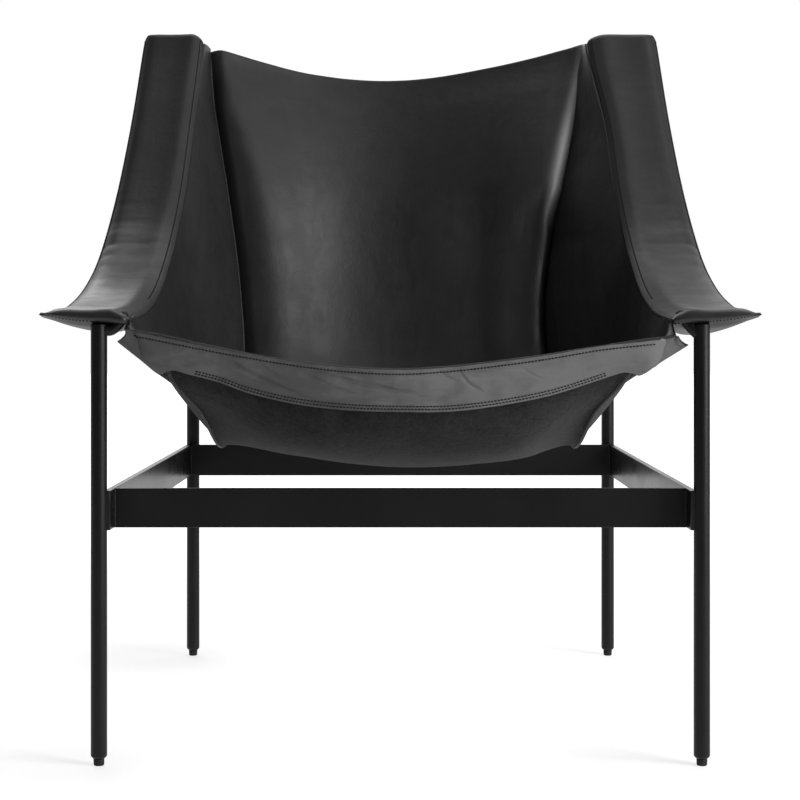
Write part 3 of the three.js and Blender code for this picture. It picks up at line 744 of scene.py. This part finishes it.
def pocket_frame(along):
    """Inner edge, direction across, and the direction towards the sitter's elbow, at each station."""
    inner = spline(inner_knots, along)
    outer = spline(outer_knots, along)
    ahead = spline(inner_knots, np.minimum(along + 1e-3, 1)) - spline(inner_knots, np.maximum(along - 1e-3, 0))
    up = unit(np.stack([np.zeros(len(along)), -ahead[:, 2], ahead[:, 1]], -1))
    return inner, outer, up


def end_rows(count):
    """Shares from 0 to 1 that stand closer together at both ends."""
    t = np.linspace(0, 1, count)
    return t - END_CROWD * np.sin(2 * math.pi * t) / (2 * math.pi)


def bullnose(distance, radius):
    """A share that grows from 0 at an end to 1 as a quarter circle does."""
    return np.sqrt(np.clip(1 - (1 - np.clip(distance / radius, 0, 1)) ** 2, 0, 1))


# Sections across the wing, as s and the height above its middle. The facing is proud near its inner edge and
# falls away to the outer one.
FACING_PROFILE = [(-1.2, -2.6), (-1.3, -1.2), (-0.7, 0.5), (1.0, 2.2), (3.2, 4.0), (6.2, 5.5), (10.0, 6.9),
                  (14.5, 8.4), (18.0, 9.2), (21.5, 9.3), (27.0, 8.7), (36.0, 7.4), (47.0, 6.5), (62.0, 6.5),
                  (71.0, 6.8), (78.0, 6.4), (82.5, 5.3), (86.5, 3.6), (90.0, 1.4), (92.8, -0.8), (94.6, -2.2)]
# Creases across the wing's bend: where along, how deep and how wide
WING_CREASES = [(0.560, 1.5, 6.0), (0.592, -0.6, 7.0), (0.520, 0.6, 5.0), (0.625, 0.5, 4.0),
                (0.480, 0.5, 6.0), (0.665, 0.4, 4.5), (0.545, 0.35, 2.5), (0.578, 0.4, 2.5)]
# At the arm's front the facing folds back under the arm
FOLD_ROWS = 12
FOLD_REACH = 8.5
FOLD_DROP = 4.6
FRONT_BULGE = 0.3
END_RADIUS = 9.0
HEM = 1.6
PLY = 1.9
# How wide and how deep the inner corner of each wing's top is cut back
TOP_CORNER = {"left": (36.0, 14.0), "right": (23.0, 21.0)}


def wing_surface(side, profile, rows, columns, height_at, inset=0.0, under=()):
    """A surface through sections of a wing. height_at gives a section's height over the rod, from the station
    along the wing and the distances to the front and the top."""
    t = end_rows(rows)
    controls = []
    for s, height in profile:
        start, end = pocket_range(s, *TOP_CORNER[side])
        start = start + inset * STATION / FRONT_SPAN
        along = np.concatenate([start + np.array(under) * STATION / FRONT_SPAN, start + (end - start) * t])
        inner, outer, up = pocket_frame(along)
        from_front = (along - start) * FRONT_SPAN / STATION
        from_top = (end - along) * TOP_SPAN / STATION
        h = height_at(s, height, along, from_front, from_top)
        controls.append(inner + (outer - inner) * (s / POCKET_WIDTH) + up * h[:, None])
    return spline(np.stack(controls, axis=1), np.linspace(0, 1, columns))


def facing_surface(side):
    """The leather over the arm and wing. It starts under the arm, goes round the front, and ends at the top."""
    under = FOLD_REACH * (1 - np.arange(FOLD_ROWS) / FOLD_ROWS)

    def height_at(s, height, along, from_front, from_top):
        bulge = FRONT_BULGE * np.exp(-(from_front / 24) ** 2) * smoothstep(6, 30, s)
        front, top = bullnose(from_front, END_RADIUS), bullnose(from_top, END_RADIUS)
        h = (height + bulge) * front
        h = HEM * front + (h - HEM) * top if height > HEM else h
        for place, deep, wide in WING_CREASES:
            reach = smoothstep(0.25, 0.75, s / POCKET_WIDTH + 0.30 * (deep > 1))
            h = h - deep * reach * np.exp(-(((along - place) * wing_length) / wide) ** 2)
        # The fold runs out to a point at the arm's outer corner
        corner = 0.25 + 0.75 * smoothstep(POCKET_WIDTH + 6, POCKET_WIDTH - 42, s)
        h = h * (1 - smoothstep(45, 4, from_front) * (1 - corner) * (s > 40))
        h[:FOLD_ROWS] = -FOLD_DROP * corner * bullnose(under, 5.0)
        return h

    return wing_surface(side, FACING_PROFILE, 240, 112, height_at, under=under)


BACKING_PROFILE = [(3.4, 1.4), (5.0, 3.6), (9.0, 5.8), (15.0, 6.9), (24.0, 6.9), (47.0, 6.8), (66.0, 6.8),
                   (74.0, 6.4), (84.0, 5.2), (91.0, 4.6), (95.0, 4.4)]
# How thick it is over the rod at its front end
BACKING_END = 2.2
BACKING_INSET = 3.0
# How far the leather under each arm sags
ARM_SAG = {"left": 16.0, "right": 12.5}


def backing_surface(side):
    """The leather under the arm and behind the wing. Its front edge is tucked into the facing's fold."""

    def height_at(s, height, along, from_front, from_top):
        full = smoothstep(-6, 26, from_front) * bullnose(from_top, END_RADIUS)
        sag = ARM_SAG[side] * math.sin(math.pi * np.clip(s / POCKET_WIDTH, 0, 1) ** 0.7)
        sag = sag * np.sin(math.pi * np.minimum(along / 0.5, 1)) * full
        thin = min(BACKING_END, height)
        return -(thin + (height - thin) * full + sag)

    return wing_surface(side, BACKING_PROFILE, 180, 60, height_at, inset=BACKING_INSET)


# How far the top of each wing's inner edge leans in to the sitter
FLARE = {"left": 10.0, "right": -2.0}


def flared(p, side):
    """Points of a wing or panel, as on the left, with the wing's lean towards its top."""
    x, y, z = p[..., 0], p[..., 1], p[..., 2]
    out = p.copy()
    out[..., 0] -= FLARE[side] * smoothstep(690, 825, z) * smoothstep(310, 262, x) * smoothstep(620, 596, y)
    return out


def ply(face, towards):
    """The other face of a sheet, on the side away from the direction given at each point."""
    return face - normals_towards(face, towards) * PLY


def elbow_side(face):
    """Up over the arm, and forwards over the wing."""
    rise = smoothstep(480, 560, face[..., 2])
    return np.stack([0 * rise, -rise, 1 - rise], -1)


# Side panels
SHEET = 2.8
FOLD_SHARE = 0.3
PINCH = 5.0
# Soft upright folds: middle and width across, depth, and where along they start and end
PANEL_FOLDS = [(0.20, 0.05, 1.0, 0.60, 0.42), (0.42, 0.06, 1.3, 0.66, 0.40),
               (0.63, 0.05, 0.9, 0.60, 0.36), (0.30, 0.04, 0.7, 0.74, 0.50)]
panel_rows = np.linspace(0, 1, 240) ** 1.25
panel_cols = np.linspace(0, 1, 76)
panel_face = panel_base(panel_rows, panel_cols)
panel_out = grid_normals(panel_face)
folds = np.zeros(panel_face.shape[:2])
for centre, wide, deep, start, end in PANEL_FOLDS:
    middle = centre + 0.10 * (panel_rows - 0.5)
    across_fall = np.exp(-((panel_cols[None, :] - middle[:, None]) / wide) ** 2)
    folds += deep * across_fall * (np.exp(-((panel_rows - (start + end) / 2) / (start - end)) ** 2))[:, None]
pinch = np.exp(-((panel_rows - 0.12) / 0.05) ** 2)[:, None] * np.exp(-((panel_cols - 0.5) / 0.3) ** 2)[None, :]
panel_face = panel_face + panel_out * FOLD_SHARE * folds[..., None]
panel_face[..., 0] -= PINCH * pinch
panel_outer = panel_face + panel_out * SHEET
tuck_along = seam_outward(panel_rows)
from_seam = panel_cols * np.linalg.norm(np.diff(panel_face, axis=1), axis=-1).sum(1)[:, None]
panel_tuck = tuck_along[:, None] * tuck(panel_rows, from_seam, TUCK_PANEL_WIDTH)
panel_face, panel_outer = panel_face + panel_tuck, panel_outer + panel_tuck

# Seat and back
body_rows = np.linspace(0, 1, 260) ** 1.25
# The columns crowd towards the seams
CROWD = math.pi / 2 * 0.86
body_cols = np.sin(np.linspace(-1, 1, 201) * CROWD) / math.sin(CROWD)
body_face = body_surface(body_rows, body_cols)
body_outer = body_face + grid_normals(body_face) * SHEET
seam_out = seam_outward(body_rows)
half_width = np.linalg.norm(np.diff(body_face, axis=1), axis=-1).sum(1)[:, None] / 2
tucked = np.where(body_cols[None, :, None] < 0, on_side(seam_out, -1)[:, None], seam_out[:, None])
tucked = tucked * tuck(body_rows, (1 - np.abs(body_cols))[None, :] * half_width, TUCK_BODY_WIDTH)
body_face, body_outer = body_face + tucked, body_outer + tucked

wing_leathers = [suede, wing_leather, cut_edge]
facings = {}
for side, sign in SIDES:
    top = flared(facing_surface(side), side)
    facings[side] = on_side(top, sign)
    facing = sheet_mesh(f"wing_facing_leather_{side}", on_side(ply(top, elbow_side(top)), sign),
                        facings[side], wing_leathers)
    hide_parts(f"wing_facing_{side}")
    bottom = flared(backing_surface(side), side)
    backing = sheet_mesh(f"wing_backing_leather_{side}", on_side(ply(bottom, -elbow_side(bottom)), sign),
                         on_side(bottom, sign), wing_leathers)
    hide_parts(f"wing_backing_{side}")
    panel = sheet_mesh(f"side_panel_leather_{side}", settle(on_side(flared(panel_face, side), sign)),
                       settle(on_side(flared(panel_outer, side), sign)), leathers)
    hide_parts(f"side_panel_{side}")

sling_face, sling_outer = settle(body_face), settle(body_outer)
body = sheet_mesh("sling_leather", sling_face, sling_outer, leathers)
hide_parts("sling_body")
# A painted highlight: lighter colour along the crest of the tight roll, a share at each point, over the height
CREST, CREST_WIDTH = 10.0, 5.5
CREST_SHARE = [(575, 0.0), (640, 0.40), (705, 0.78), (760, 1.0), (805, 0.45), (830, 0.3)]
across, height = sling_face[..., 0], sling_face[..., 2]
from_left, from_right = ((1 - sign * body_cols)[None, :] * half_width for sign in (1, -1))
painted_highlight = np.exp(-((from_left - CREST) / CREST_WIDTH) ** 2) + 0.035 * np.exp(-(from_left / 60.0) ** 2)
painted_highlight = painted_highlight * np.interp(height, *zip(*CREST_SHARE))
# Painted shade: darker colour in the small of the back, and in the creases beside the two seams
on_back = smoothstep(420, 480, sling_face[..., 1])
small = 0.34 * np.exp(-((across - 5.0) / 85.0) ** 2 - ((height - 530.0) / 105.0) ** 2)
creased = 0.6 * np.exp(-(from_right / 15.0) ** 2) * smoothstep(470, 540, height) * smoothstep(820, 760, height)
deep = 0.72 * np.exp(-(from_left / 34.0) ** 2) * smoothstep(575, 500, height)
painted_shade = 1 - (1 - small) * (1 - on_back * creased) * (1 - on_back * deep)
for name, share in (("painted_crest_highlight", painted_highlight), ("painted_shade", painted_shade)):
    values = np.zeros(len(body.data.vertices))
    values[:share.size] = share.ravel()
    body.data.attributes.new(name, "FLOAT", "POINT").data.foreach_set("value", values)

# Front band: a second ply, sewn on the front of the lip. Its edges are given as x and z of the points where
# the camera sees them in the plane of the front legs' axes.
BAND_TOP = [(-286.5, 454.0), (-257, 447.4), (-214, 438.4), (-158, 428.0), (-104, 419.4), (-52, 413.8),
            (0, 411.4), (52, 414.4), (104, 420.2), (158, 427.6), (208, 436.0), (261, 442.0), (288.5, 446.0)]
BAND_LOW = [(-293.5, 441.0), (-273, 424.9), (-252, 408.6), (-248, 408.0), (-243.5, 410.2), (-236.5, 412.0),
            (-218.5, 407.6), (-190.5, 400.4), (-156.4, 388.1), (-104.4, 376.2), (-52.4, 370.4), (0, 368.7),
            (51.6, 369.2), (103.6, 375.4), (155.6, 386.0), (207.6, 402.7), (220, 406.8), (232.5, 410.0),
            (241, 409.0), (248.7, 406.8), (273.5, 422.1), (298.5, 437.5)]
BAND_PLY = 2.2
BAND_ROWS, BAND_COLS = 56, 560
# The part of the sling that the band may lie on, and a grid over it as seen from the front
LIP_ROWS = 70
LIP_HALF, LIP_LOW, LIP_TALL = 320.0, 350.0, 120.0
CELL = 2.0
EMPTY = 1e3
FILL_ROUNDS, SMOOTH_ROUNDS = 60, 6


def neighbours(grid, **how):
    padded = np.pad(grid, 1, **how)
    return np.stack([padded[:-2, 1:-1], padded[2:, 1:-1], padded[1:-1, :-2], padded[1:-1, 2:]])


def front_depths():
    """How far forward the sling reaches, over a grid of x and z, smoothed."""
    panels = [settle(on_side(panel_outer[:LIP_ROWS], sign)) for _, sign in SIDES]
    cloud = np.concatenate([part.reshape(-1, 3) for part in (sling_outer[:LIP_ROWS], *panels)])
    across = int(2 * LIP_HALF / CELL)
    up = int(LIP_TALL / CELL)
    i = np.clip(((cloud[:, 0] + LIP_HALF) / CELL).astype(int), 0, across - 1)
    k = ((cloud[:, 2] - LIP_LOW) / CELL).astype(int)
    inside = (k >= 0) & (k < up)
    depth = np.full((across, up), EMPTY)
    np.minimum.at(depth, (i[inside], k[inside]), cloud[inside, 1])
    # Empty cells take their neighbours' depth, starting from the filled ones
    for _ in range(FILL_ROUNDS):
        empty = depth > 0.9 * EMPTY
        if not empty.any():
            break
        near = neighbours(depth, constant_values=EMPTY)
        filled = near < 0.9 * EMPTY
        count = filled.sum(0)
        mean = np.where(filled, near, 0).sum(0) / np.maximum(count, 1)
        depth = np.where(empty & (count > 0), mean, depth)
    for _ in range(SMOOTH_ROUNDS):
        depth = (neighbours(depth, mode="edge").sum(0) + 4 * depth) / 8
    return depth


front_depth = front_depths()


def sling_depth(x, z):
    """The depth of the sling's front at places in the grid, between the cells' middles."""
    i = np.clip((x + LIP_HALF) / CELL - 0.5, 0, front_depth.shape[0] - 1.001)
    k = np.clip((z - LIP_LOW) / CELL - 0.5, 0, front_depth.shape[1] - 1.001)
    i0, k0 = i.astype(int), k.astype(int)
    u, v = i - i0, k - k0
    d = front_depth
    return ((d[i0, k0] * (1 - u) + d[i0 + 1, k0] * u) * (1 - v)
            + (d[i0, k0 + 1] * (1 - u) + d[i0 + 1, k0 + 1] * u) * v)


def perspective(xz, depth):
    """The point at a depth that is seen where the point xz of the drawing plane is seen."""
    scale = (CAMERA_DISTANCE / MM + depth) / (CAMERA_DISTANCE / MM)
    eye = CAMERA_HEIGHT / MM
    return np.stack([xz[..., 0] * scale, depth, eye + (xz[..., 1] - eye) * scale], -1)


# Stretch creases, pressed in along short slanting lines: both ends as x and z, then depth and width
BAND_CREASES = [
    (-178, 423, -96, 384, 0.9, 1.5), (-150, 424, -118, 402, 0.5, 1.2), (-112, 416, -44, 386, 0.6, 1.3),
    (-96, 414, 18, 388, 0.7, 1.4), (-60, 404, 6, 386, 0.45, 1.2), (-30, 400, 30, 383, 0.4, 1.1),
    (-205, 424, -150, 402, 0.5, 1.4), (36, 414, 66, 398, 0.55, 1.2), (60, 412, 84, 389, 0.9, 1.4),
    (72, 404, 92, 386, 0.4, 1.1), (120, 420, 150, 402, 0.35, 1.2), (-128, 398, -60, 382, 0.35, 1.1),
]
CREASE_SHARE = 1.6
BAND_LIFT = 0.6
BAND_FULLNESS = 0.9
BAND_HEIGHT = 46.0


def band_grids():
    """The band's inner and outer face and its normals, as grids from its top edge down."""
    top, low = through(BAND_TOP, BAND_COLS), through(BAND_LOW, BAND_COLS)
    share = np.linspace(0, 1, BAND_ROWS)[:, None, None]
    flat = top[None] * (1 - share) + low[None] * share
    # The ends are drawn in below the top corner, and flare to the lower one
    row = share[..., 0]
    for end, sign, reach in ((0, 1, 4.4), (BAND_COLS - 1, -1, 2.2)):
        near = np.exp(-np.abs(np.arange(BAND_COLS) - end) / 9.0)[None, :]
        flat[..., 0] += sign * reach * np.sin(row * math.pi) ** 0.8 * near
    x, z = flat[..., 0], flat[..., 1]
    depth = sling_depth(x, z)
    for _ in range(2):
        depth = sling_depth(*np.moveaxis(perspective(flat, depth)[..., (0, 2)], -1, 0))
    # Beside the side panels the band stands off, taut and nearly flat, its lower edge further back
    aside = smoothstep(225, 262, np.abs(x))
    depth = np.minimum(depth, depth * (1 - aside) + aside * (1.0 + 0.34 * (452 - z))) - BAND_LIFT
    press = np.zeros(depth.shape)
    for x0, z0, x1, z1, deep, wide in BAND_CREASES:
        span = np.array([x1 - x0, z1 - z0], float)
        length = np.linalg.norm(span)
        along = ((x - x0) * span[0] + (z - z0) * span[1]) / length
        aside = ((x - x0) * -span[1] + (z - z0) * span[0]) / length + 2.2 * np.sin(along / length * math.pi)
        fade = smoothstep(-4, 14, along) * smoothstep(length + 4, length - 14, along)
        valley, ridge = np.exp(-(aside / wide) ** 2), np.exp(-((aside - 4) / 3.2) ** 2)
        press += CREASE_SHARE * fade * deep * (valley - 0.45 * ridge)
    inner = perspective(flat, depth)
    outward = normals_towards(inner, (0, -1, 0))
    # The sewn edges are pressed flat, the middle is full
    from_edge = np.minimum(row, 1 - row) * BAND_HEIGHT
    full = BAND_FULLNESS * smoothstep(1.5, 13, from_edge)
    outer = inner + outward * (BAND_PLY + full - press)[..., None]
    return inner, outer, outward


band_inner, band_outer, band_normal = band_grids()
band = sheet_mesh("front_band_leather", band_inner, band_outer, [suede, band_leather, cut_edge])
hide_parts("front_band")

# Seam allowance that stands out along the seams between the seat and its sides, and its width over the
# seam's rows
FLANGE_HALF = 2.1
FLANGE_WIDTH = [(0.08, 1.0), (0.16, 2.6), (0.24, 4.2), (0.3, 4.4), (0.6, 6.0), (0.75, 7.0),
                (0.95, 6.0), (1.0, 4.0)]
for side, sign in SIDES:
    rows = np.linspace(0.09, 0.985, 260)
    seam = settle(on_side(spline(guides["seam"], rows), sign))
    out = on_side(seam_outward(rows), sign)
    width = np.interp(rows, *zip(*FLANGE_WIDTH))
    start = 0.6 + 4.0 * smoothstep(0.50, 0.64, rows)
    shares = np.linspace(0, 1, 7)
    across = unit(np.cross(np.gradient(seam, axis=0), out))
    line = seam[:, None] + out[:, None] * (shares[None, :, None] * width[:, None, None] + start[:, None, None])
    spread = across[:, None] * FLANGE_HALF * (1 + 0.12 * np.sin(rows * 61))[:, None, None]
    sheet_mesh(f"seam_allowance_{side}", line - spread, line + spread, [suede, suede, cut_edge])


# Stitches
STITCH_PITCH = 3.55
STITCH_LENGTH = 2.6
STITCH_RADIUS = 0.72
THREAD_LIFT = 0.1
BAND_THREAD_LIFT = 0.12


def stitches(name, path, normal):
    """A row of thread stitches lying on a surface, along a path with the surface's normals."""
    path, normal = np.asarray(path, float), np.asarray(normal, float)
    total = arc_lengths(path)
    count = int(total[-1] / STITCH_PITCH)
    verts, faces = [], []
    sides, rings = 7, ((-0.5, 0.35), (-0.38, 0.85), (0.0, 1.0), (0.38, 0.85), (0.5, 0.35))
    cos, sin = circle(sides)
    for k in range(count):
        middle = (k + 0.5) * total[-1] / count
        a, c, b, n = (np.array([np.interp(middle + d, total, field[:, i]) for i in range(3)])
                      for d, field in ((-1.0, path), (0.0, path), (1.0, path), (0.0, normal)))
        ahead, n = unit(b - a), unit(n)
        side = unit(np.cross(ahead, n))
        start = len(verts) * sides
        for share, size in rings:
            ring = c + ahead * share * STITCH_LENGTH + n * STITCH_RADIUS * (0.25 - 0.5 * abs(share))
            verts.append(ring + STITCH_RADIUS * size * (cos[:, None] * side * 1.15 + sin[:, None] * n))
        faces += ring_faces(len(rings), sides, start)
    return new_mesh(name, np.concatenate(verts), faces, [thread])


def grid_row(face, row, column=None):
    """A path over a grid at a fractional row, or at a fractional column."""
    if column is None:
        i = int(row)
        return face[i] * (1 - row + i) + face[i + 1] * (row - i)
    j = int(column)
    return face[:, j] * (1 - column + j) + face[:, j + 1] * (column - j)


def band_row(millimetres, from_top, trim):
    """A path on the band at a distance from its top or lower edge, without its ends."""
    height = np.linalg.norm(band_outer[0] - band_outer[-1], axis=-1)
    at = np.clip(millimetres / height, 0, 1) * (BAND_ROWS - 1)
    at = at if from_top else BAND_ROWS - 1 - at
    low = np.clip(at.astype(int), 0, BAND_ROWS - 2)
    part = (at - low)[:, None]
    column = np.arange(BAND_COLS)
    face = band_outer[low, column] * (1 - part) + band_outer[low + 1, column] * part
    normal = band_normal[low, column]
    keep = slice(trim[0], BAND_COLS - trim[1])
    return (face + normal * BAND_THREAD_LIFT)[keep], normal[keep]


# Rows of stitches: distance from the edge, whether it is the top edge, and the columns left free at the ends
band_threads = [stitches("band_stitches_top", *band_row(4.6, True, (10, 25))),
                stitches("band_stitches_low", *band_row(3.0, False, (82, 84))),
                stitches("band_stitches_low_inner", *band_row(6.6, False, (82, 84)))]


def wing_threads(side):
    """Stitches along a wing's outer edge, along its inner seam and under the arm's front fold."""
    face = facings[side]
    out = normals_towards(face, elbow_side(face))
    count, columns = face.shape[:2]
    threads = []
    for name, line, keep in (("wing_edge", (None, columns - 4.2), slice(FOLD_ROWS + 4, -4)),
                             ("wing_seam", (None, 27.0), slice(int(0.44 * count), int(0.97 * count))),
                             ("arm_front", (5.0,), slice(14, -8))):
        path, normal = (grid_row(grid, *line)[keep] for grid in (face, out))
        threads.append(stitches(f"{name}_stitches_{side}", path + normal * THREAD_LIFT, normal))
    return threads


# Stitches on both wings
for side in ("left", "right"):
    threads = wing_threads(side)

# Floor, backdrop and light
WHITE = (1.0, 1.0, 1.0, 1.0)
FLOOR_HALF = 9.0
FLOOR_WHITE = 0.86
SEEN_STRENGTH = 1.35
# How much plain white covers the floor's own light and shade beside each foot: from and to these distances
# in metres, and the two shares. The darkest place lies a little to the right.
FOOT_SHARE = (0.04, 0.17, 0.515, 0.62)
FOOT_SIDE = 0.05


def floor_material():
    """White to the camera, with the object's soft shadow near it, and dark to reflections far in front."""
    m, n = material("floor_white")
    lit = n.add("ShaderNodeBsdfDiffuse")
    lit.inputs["Color"].default_value = (*grey(FLOOR_WHITE), 1)
    seen = n.add("ShaderNodeEmission", Strength=SEEN_STRENGTH, Color=WHITE)
    reflected = n.add("ShaderNodeEmission", Color=WHITE)
    n.put(reflected, "Strength", n.ramp(n.split(n.place())["Y"], -2.6, -1.0, 0.04, 0.9))
    far = n.add("ShaderNodeVectorMath", operation="LENGTH")
    n.feed(far, (n.place(),))
    from_foot = None
    for sign in (-1, 1):
        for half, depth in ((FRONT_HALF, 0), (REAR_HALF, LEG_SPACING)):
            foot = n.add("ShaderNodeVectorMath", operation="DISTANCE")
            n.feed(foot, (n.place(), (sign * half * MM - FOOT_SIDE, AXIS_Y + depth * MM, 0.0)))
            distance = foot.outputs["Value"]
            from_foot = distance if from_foot is None else n.maths("MINIMUM", from_foot, distance)
    near = n.ramp(from_foot, *FOOT_SHARE)
    share = n.ramp(far.outputs["Value"], 0.9, 1.6, near, 1.0)
    path = n.add("ShaderNodeLightPath")
    to_camera = n.maths("MULTIPLY", path.outputs["Is Camera Ray"], share)
    first = n.feed(n.add("ShaderNodeMixShader"), (to_camera, lit.outputs[0], seen.outputs[0]))
    shine = n.maths("MAXIMUM", path.outputs["Is Glossy Ray"], path.outputs["Is Transmission Ray"])
    second = n.feed(n.add("ShaderNodeMixShader"), (shine, first, reflected.outputs[0]))
    n.put(n.add("ShaderNodeOutputMaterial"), "Surface", second)
    return m


floor_mesh = bpy.data.meshes.new("floor")
floor_mesh.from_pydata([(x * FLOOR_HALF, y * FLOOR_HALF, 0) for x, y in ((-1, -1), (1, -1), (1, 1), (-1, 1))],
                       [], [(0, 1, 2, 3)])
floor_mesh.materials.append(floor_material())
floor = bpy.data.objects.new("floor", floor_mesh)
bpy.context.scene.collection.objects.link(floor)

world = bpy.data.worlds.new("studio")
bpy.context.scene.world = world
world.use_nodes = True
world.node_tree.nodes.clear()
# White behind the chair, dim in front of it and overhead. The camera always sees white.
w = Nodes(world.node_tree)
direction = w.split(w.add("ShaderNodeTexCoord").outputs["Generated"])
to_side = w.maths("MULTIPLY", w.maths("ABSOLUTE", direction["X"]), -0.60)
behind = w.ramp(w.maths("ADD", direction["Y"], to_side), -0.35, 0.45, 0.05, 1.0)
above = w.ramp(direction["Z"], 0.70, 1.0, 0.0, 0.11)
to_camera = w.add("ShaderNodeLightPath").outputs["Is Camera Ray"]
background = w.add("ShaderNodeBackground", Color=WHITE)
w.put(background, "Strength", w.maths("MAXIMUM", w.maths("MAXIMUM", behind, above), to_camera))
w.put(w.add("ShaderNodeOutputWorld"), "Surface", background.outputs[0])


def area_light(name, place, target, size, size_y, power):
    data = bpy.data.lights.new(name, "AREA")
    data.shape = "RECTANGLE"
    data.size = size
    data.size_y = size_y
    data.energy = power
    light = bpy.data.objects.new(name, data)
    light.location = place
    light.rotation_mode = "QUATERNION"
    light.rotation_quaternion = (Vector(target) - Vector(place)).to_track_quat("-Z", "Y")
    bpy.context.scene.collection.objects.link(light)


# Soft lights: place, target, width, height and watts
area_light("key_right", (2.75, -1.75, 1.35), (0, 0, 0.45), 1.5, 1.9, 92)
area_light("top_soft", (0.1, 0.5, 3.0), (0, 0.1, 0.4), 2.0, 1.6, 11)
area_light("key_high", (2.2, -1.35, 2.75), (0, 0, 0.45), 1.6, 1.6, 24)
area_light("fill_left", (-2.3, -2.2, 2.6), (0, 0, 0.45), 1.6, 1.6, 9)
area_light("rear_soft", (-0.9, 3.0, 2.3), (0, 0, 0.5), 1.4, 1.2, 15)
